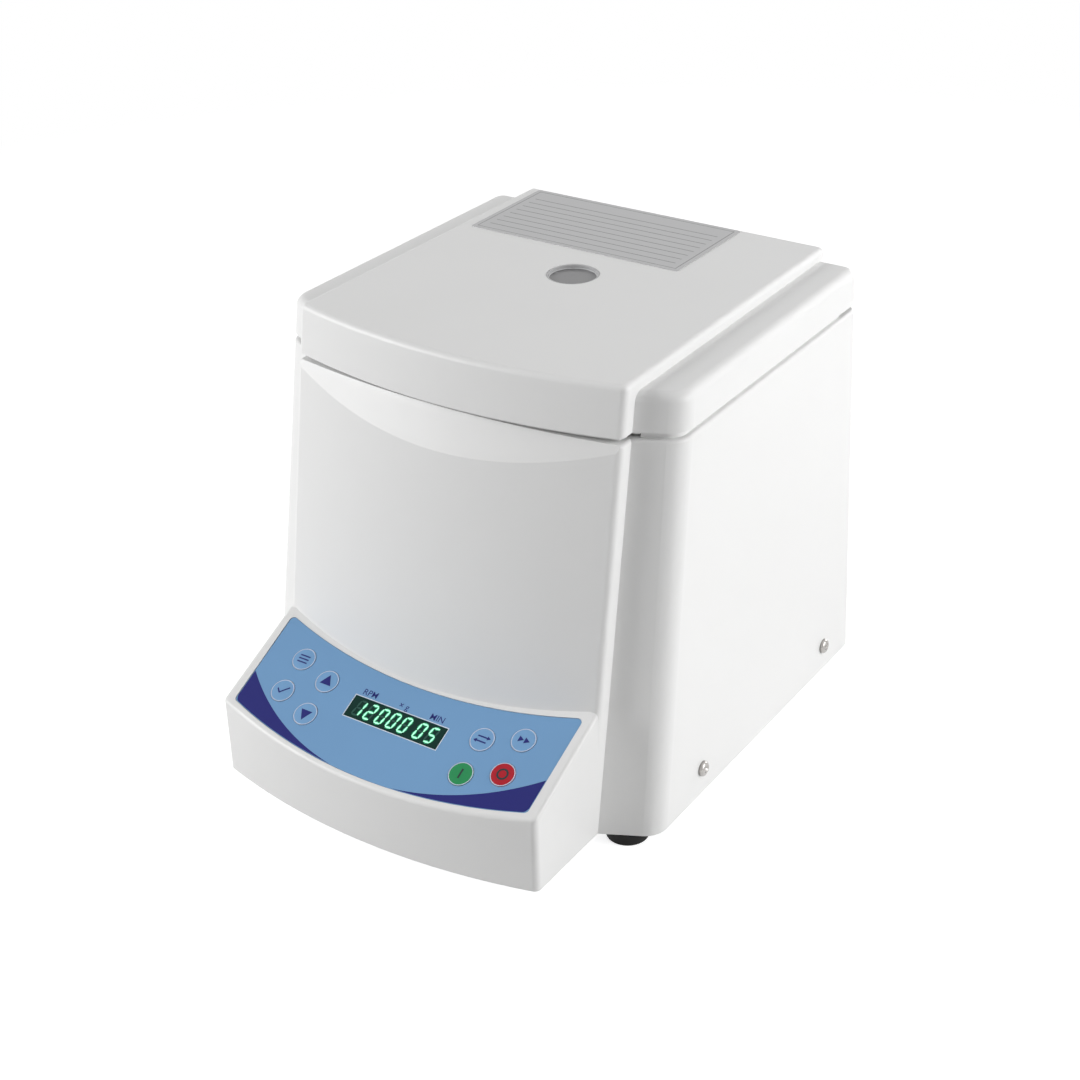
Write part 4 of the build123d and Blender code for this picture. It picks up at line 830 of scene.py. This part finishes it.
class CENTRIFUGE_OT_key_marks(bpy.types.Operator):
    """Raise a rim round each key's top, and print its mark"""

    bl_idname = "centrifuge.key_marks"
    bl_label = "Key rings and marks"

    def execute(self, context):
        sizes = context.scene.centrifuge_sizes
        colours = context.scene.centrifuge_colours
        ring_ink = printed_film("ring_ink", screen(206, 217, 237))
        mark_ink = printed_film("mark_ink", tuple(colours.band))
        dark_ink = printed_film("dark_mark_ink", (0.012, 0.025, 0.03))
        tube = sizes.ring_radius
        middle = KEY_RADIUS - tube
        for key, (x, s) in KEYS.items():
            ring = turned_tube(middle, -crown_fall(middle), tube, tube * RIM_FLATNESS,
                               sizes.ring_segments)
            ring.transform(panel_matrix(x, s, KEY_TOP))
            made = piece(key + "_ring", ring, ring_ink, key + "_cap")
            smooth(made, 80)
            mark = self.mark(key, sizes.mark_size)
            bmesh.ops.subdivide_edges(mark, edges=mark.edges[:], cuts=3, use_grid_fill=True)
            thicken(mark, sizes.print_height)
            self.drape(mark)
            mark.transform(panel_matrix(x, s, KEY_TOP))
            ink = dark_ink if key in ("key_start", "key_stop") else mark_ink
            piece(key + "_mark", mark, ink, key + "_cap")
        return {"FINISHED"}

    def drape(self, mark):
        """Lower each point by as much as the key's crown has fallen there."""
        for vert in mark.verts:
            vert.co.z -= crown_fall(hypot(vert.co.x, vert.co.y)) + MARK_SINK

    def mark(self, key, size):
        """A plain sign for a key, lying flat about the origin."""
        bm = bmesh.new()
        stroke = size * 0.16
        if key in ("key_up", "key_down"):
            turn = 0 if key == "key_up" else pi
            add_shape(bm, polygon(3, size * 0.80), Matrix.Rotation(turn, 4, "Z"))
        elif key == "key_menu":
            for i in (-1, 0, 1):
                place = Matrix.Translation((0, i * size * 0.38, 0))
                add_shape(bm, bar(size * 1.25, stroke, False), place)
        elif key == "key_confirm":
            for dx, dy, angle, length in ((-0.42, -0.12, -45, 0.62), (0.22, 0.10, 45, 1.25)):
                place = Matrix.Translation((dx * size, dy * size, 0))
                turn = Matrix.Rotation(radians(angle), 4, "Z")
                add_shape(bm, bar(length * size, stroke, False), place @ turn)
        elif key == "key_units":
            for side in (-1, 1):
                place = Matrix.Translation((0, side * size * 0.27, 0))
                add_shape(bm, bar(size * 1.2, stroke, False), place)
                tip = Matrix.Translation((side * size * 0.62, side * size * 0.27, 0))
                add_shape(bm, polygon(3, size * 0.26), tip @ Matrix.Rotation(-side * pi / 2, 4, "Z"))
        elif key == "key_short_spin":
            for dx in (-0.34, 0.34):
                place = Matrix.Translation((dx * size, 0, 0))
                add_shape(bm, polygon(3, size * 0.40), place @ Matrix.Rotation(-pi / 2, 4, "Z"))
        elif key == "key_start":
            add_shape(bm, bar(size * 1.1, stroke * 1.3, False), Matrix.Rotation(pi / 2, 4, "Z"))
        else:
            add_shape(bm, hoop(size * 0.42, stroke * 1.3, 48), Matrix.Identity(4))
        return bm


class CENTRIFUGE_OT_display(bpy.types.Operator):
    """Fit the display's frame, its lit and unlit digits and its captions"""

    bl_idname = "centrifuge.display"
    bl_label = "Display"

    def execute(self, context):
        sizes = context.scene.centrifuge_sizes
        colours = context.scene.centrifuge_colours
        height = sizes.print_height
        middle = (PANE_LOW + PANE_HIGH) / 2
        rim = bmesh.new()
        bmesh.ops.create_grid(rim, x_segments=1, y_segments=1, size=0.5)
        size = ((PANE_HALF_WIDTH + PANE_EDGE_REACH) * 2, PANE_HIGH - PANE_LOW + PANE_EDGE_REACH * 2, 1)
        bmesh.ops.scale(rim, verts=rim.verts, vec=size)
        inner = rim.faces[:]
        bmesh.ops.inset_region(rim, faces=inner, thickness=PANE_EDGE_WIDTH, use_boundary=True)
        bmesh.ops.delete(rim, geom=inner, context="FACES")
        thicken(rim, height * 3)
        rim.transform(panel_matrix(0, middle, OVERLAY_TOP))
        pale = printed_film("frame_ink", screen(226, 234, 243))
        piece("display_edge", rim, pale, "housing")
        dim = printed_film("unlit_ink", tinted(tuple(colours.window), 1.9))
        glow = lamp("digit_halo", screen(10, 160, 104), 0.95)
        light = lamp("digit_light", tuple(colours.lit), 1.15)
        layers = (("digits_unlit", dim, 1.0, False), ("digits_halo", glow, 1.75, True),
                  ("digits_lit", light, 0.85, True))
        for level, (name, finish, share, lit_only) in enumerate(layers):
            bm = bmesh.new()
            for figure, x in DIGITS:
                for i in range(7):
                    if not lit_only or str(i) in DIGIT_BARS[figure]:
                        self.digit_bar(bm, i, x, sizes, share)
            thicken(bm, height / 2)
            bm.transform(panel_matrix(0, middle, PANE_TOP + height * DIGIT_LAYER_STEP * level))
            piece(name, bm, finish, "housing")
        ink = printed_film("caption_ink", tuple(colours.band))
        captions = bmesh.new()
        for words, x in CAPTIONS:
            lettering = text_outline(words, sizes.caption_size * FONT_OVER_CAPITAL, height)
            add_shape(captions, lettering, Matrix.Translation((x, 0, 0)))
        captions.transform(panel_matrix(0, CAPTION_S - sizes.caption_size / 2, OVERLAY_TOP))
        piece("display_captions", captions, ink, "housing")
        return {"FINISHED"}

    def digit_bar(self, bm, i, x, sizes, share):
        """Add one bar of a digit: the top, two right, the bottom, two left, the middle."""
        high, wide = sizes.digit_height / 2, sizes.digit_width / 2
        spots = ((0, high), (wide, high / 2), (wide, -high / 2), (0, -high),
                 (-wide, -high / 2), (-wide, high / 2), (0, 0))
        upright = i in (1, 2, 4, 5)
        length = (sizes.digit_height / 2 if upright else sizes.digit_width) - sizes.bar_width * 0.25
        shape = bar(length, sizes.bar_width * share)
        turn = Matrix.Rotation(pi / 2 if upright else 0, 4, "Z")
        shape.transform(Matrix.Translation((*spots[i], 0)) @ turn)
        for vert in shape.verts:
            vert.co.x += vert.co.y * tan(sizes.digit_slant)
        add_shape(bm, shape, Matrix.Translation((x, 0, 0)))


class CENTRIFUGE_OT_window_bead(bpy.types.Operator):
    """Lay a pale bead round the foot of the window's wall: a painted highlight in place of the light
    that the glass's edge catches
    """

    bl_idname = "centrifuge.window_bead"
    bl_label = "Window bead"

    def execute(self, context):
        sizes = context.scene.centrifuge_sizes
        tube = sizes.bead_radius
        low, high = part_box("window_lens")
        middle, reach = (low + high) / 2, (high.x - low.x) / 2 - tube * BEAD_INSET
        bead = turned_tube(reach, 0, tube, tube, sizes.ring_segments)
        bead.transform(Matrix.Translation((middle.x, middle.y, high.z)))
        # Pale colour for the painted highlight round the window's glass
        painted_highlight = printed_film("window_edge_painted_highlight", (0.62, 0.63, 0.63))
        smooth(piece("window_bead", bead, painted_highlight, "lid"), 80)
        return {"FINISHED"}


class CENTRIFUGE_OT_inlet_pins(bpy.types.Operator):
    """Fit the three pins inside the power inlet"""

    bl_idname = "centrifuge.inlet_pins"
    bl_label = "Inlet pins"

    def execute(self, context):
        plated = bare_metal("plated_pins", (0.72, 0.68, 0.58), 0.28)
        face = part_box("power_inlet")[1].y
        pins = bmesh.new()
        for dx, dz in PIN_PLACES:
            pin = bmesh.new()
            bmesh.ops.create_cube(pin, size=1)
            bmesh.ops.scale(pin, verts=pin.verts, vec=PIN_SIZE)
            bmesh.ops.bevel(pin, geom=pin.edges[:], offset=PIN_BEVEL, offset_type="OFFSET",
                            affect="EDGES", segments=3, profile=0.5, material=-1)
            place = (INLET_X + dx, face - PIN_SETBACK, INLET_Z + dz)
            add_shape(pins, pin, Matrix.Translation(place))
        smooth(piece("inlet_pins", pins, plated, "housing"), 40)
        return {"FINISHED"}


class CENTRIFUGE_OT_rocker_marks(bpy.types.Operator):
    """Print the on and off signs on the rocker"""

    bl_idname = "centrifuge.rocker_marks"
    bl_label = "Rocker marks"

    def execute(self, context):
        white = printed_film("rocker_ink", (0.75, 0.75, 0.74))
        pivot = Matrix.Translation(ROCKER_PIVOT) @ Matrix.Rotation(ROCKER_TILT, 4, "X")
        facing = Matrix.Rotation(-pi / 2, 4, "X") @ Matrix.Rotation(pi, 4, "Z")
        # The rocker's two faces meet in a shallow valley at its middle
        fall = atan(ROCKER_VALLEY / ROCKER_HALF_HEIGHT)
        for name, side in (("rocker_on_mark", 1), ("rocker_off_mark", -1)):
            bm = bmesh.new()
            if side > 0:
                add_shape(bm, bar(*ON_MARK, False), Matrix.Rotation(pi / 2, 4, "Z"))
            else:
                add_shape(bm, hoop(*OFF_MARK, 40), Matrix.Identity(4))
            thicken(bm, ROCKER_PRINT)
            lean = Matrix.Rotation(-fall * side, 4, "X")
            spot = Matrix.Translation((0, ROCKER_MIDFACE, ROCKER_HALF_HEIGHT / 2 * side))
            bm.transform(pivot @ spot @ lean @ facing)
            piece(name, bm, white, "rocker")
        return {"FINISHED"}


class CENTRIFUGE_OT_stage(bpy.types.Operator):
    """Set the floor, the soft lamps, the world and the camera"""

    bl_idname = "centrifuge.stage"
    bl_label = "Stage"

    def execute(self, context):
        scene = context.scene
        scene.view_settings.view_transform = "Standard"
        floor = bmesh.new()
        bmesh.ops.create_grid(floor, x_segments=1, y_segments=1, size=FLOOR_HALF)
        ground = shown("floor", mesh_of(floor, "floor"))
        ground.data.materials.append(self.floor_finish())
        self.world(scene)
        for lamp_values in LAMPS:
            self.area_lamp(*lamp_values)
        self.camera(scene)
        return {"FINISHED"}

    def camera(self, scene):
        """The camera that was fitted to the photo."""
        data = bpy.data.cameras.new("camera")
        data.sensor_width = SENSOR_WIDTH
        data.lens = SENSOR_WIDTH * FOCAL_PIXELS / PHOTO_WIDTH
        data.clip_start, data.clip_end = 0.05, 20.0
        camera = shown("camera", data)
        turn, rise, roll = CAMERA_TURN, CAMERA_RISE, CAMERA_ROLL
        back = Vector((sin(turn) * cos(rise), -cos(turn) * cos(rise), sin(rise)))
        level = Vector((cos(turn), sin(turn), 0))
        upright = back.cross(level)
        right = level * cos(roll) + upright * sin(roll)
        up = upright * cos(roll) - level * sin(roll)
        matrix = Matrix((right, up, back)).transposed().to_4x4()
        camera.matrix_world = Matrix.Translation(CAMERA_PLACE) @ matrix
        scene.camera = camera

    def floor_finish(self):
        """A floor that looks white near and far, but darkens where the object shades it."""
        finish = Finish("floor")
        path = finish.node("ShaderNodeLightPath", {}, {})
        camera, glossy, passing = (Value(finish, path.outputs[label]) for label in
                                   ("Is Camera Ray", "Is Glossy Ray", "Is Transmission Ray"))
        seen = finish.maths("MAXIMUM", finish.maths("MAXIMUM", camera, glossy), passing)
        diffuse = finish.output("ShaderNodeBsdfDiffuse", {}, {"Color": FLOOR_TONE})
        glow = {"Color": (1, 1, 1), "Strength": FLOOR_GLOW}
        lifted = finish.output("ShaderNodeAddShader", {}, {
            0: diffuse, 1: finish.output("ShaderNodeEmission", {}, glow)})
        x, y = finish.place()[:2]
        far = finish.ramp((x * x + y * y) ** 0.5, *FLOOR_FADE)
        plain = finish.output("ShaderNodeEmission", {}, {"Color": (1, 1, 1), "Strength": 1.0})
        faded = finish.output("ShaderNodeMixShader", {}, {0: far, 1: lifted, 2: plain})
        mixed = finish.node("ShaderNodeMixShader", {}, {0: seen, 1: diffuse, 2: faded})
        end = finish.tree.nodes["Material Output"]
        finish.tree.links.new(mixed.outputs[0], end.inputs["Surface"])
        return finish.material

    def world(self, scene):
        """White to the camera and in reflections, a dim even sky to the rest."""
        world = bpy.data.worlds.new("studio")
        world.use_nodes = True
        tree = world.node_tree
        path = tree.nodes.new("ShaderNodeLightPath")
        seen = path.outputs["Is Camera Ray"]
        for label in ("Is Glossy Ray", "Is Transmission Ray"):
            either = tree.nodes.new("ShaderNodeMath")
            either.operation = "MAXIMUM"
            tree.links.new(seen, either.inputs[0])
            tree.links.new(path.outputs[label], either.inputs[1])
            seen = either.outputs[0]
        dim = tree.nodes["Background"]
        white = tree.nodes.new("ShaderNodeBackground")
        for sky, strength in ((dim, SKY_STRENGTH), (white, 1.0)):
            sky.inputs["Color"].default_value = (1, 1, 1, 1)
            sky.inputs["Strength"].default_value = strength
        mixed = tree.nodes.new("ShaderNodeMixShader")
        tree.links.new(seen, mixed.inputs[0])
        tree.links.new(dim.outputs[0], mixed.inputs[1])
        tree.links.new(white.outputs[0], mixed.inputs[2])
        tree.links.new(mixed.outputs[0], tree.nodes["World Output"].inputs["Surface"])
        scene.world = world

    def area_lamp(self, name, place, size, power):
        """A square soft lamp that looks at the middle of the object."""
        data = bpy.data.lights.new(name, "AREA")
        data.size = size
        data.energy = power
        made = shown(name, data)
        made.location = place
        aim = LAMP_AIM - Vector(place)
        made.rotation_euler = aim.to_track_quat("-Z", "Y").to_euler()


class CENTRIFUGE_PT_panel(bpy.types.Panel):
    """Lists the steps that build the looks"""

    bl_label = "Centrifuge"
    bl_space_type = "VIEW_3D"
    bl_region_type = "UI"
    bl_category = "Centrifuge"

    def draw(self, context):
        for step in STEPS:
            self.layout.operator(step.bl_idname)
        for group in (context.scene.centrifuge_colours, context.scene.centrifuge_sizes):
            for label in group.__annotations__:
                self.layout.prop(group, label)


STEPS = (
    CENTRIFUGE_OT_finishes,
    CENTRIFUGE_OT_screws,
    CENTRIFUGE_OT_overlay_print,
    CENTRIFUGE_OT_key_marks,
    CENTRIFUGE_OT_display,
    CENTRIFUGE_OT_window_bead,
    CENTRIFUGE_OT_inlet_pins,
    CENTRIFUGE_OT_rocker_marks,
    CENTRIFUGE_OT_stage,
)
CLASSES = (CentrifugeColours, CentrifugeSizes, *STEPS, CENTRIFUGE_PT_panel)


def register():
    for made in CLASSES:
        bpy.utils.register_class(made)
    bpy.types.Scene.centrifuge_colours = PointerProperty(type=CentrifugeColours)
    bpy.types.Scene.centrifuge_sizes = PointerProperty(type=CentrifugeSizes)


def unregister():
    del bpy.types.Scene.centrifuge_sizes
    del bpy.types.Scene.centrifuge_colours
    for made in reversed(CLASSES):
        bpy.utils.unregister_class(made)


def main():
    """Run every step in order."""
    register()
    bpy.ops.centrifuge.finishes()
    bpy.ops.centrifuge.screws()
    bpy.ops.centrifuge.overlay_print()
    bpy.ops.centrifuge.key_marks()
    bpy.ops.centrifuge.display()
    bpy.ops.centrifuge.window_bead()
    bpy.ops.centrifuge.inlet_pins()
    bpy.ops.centrifuge.rocker_marks()
    bpy.ops.centrifuge.stage()


if __name__ == "__main__":
    main()
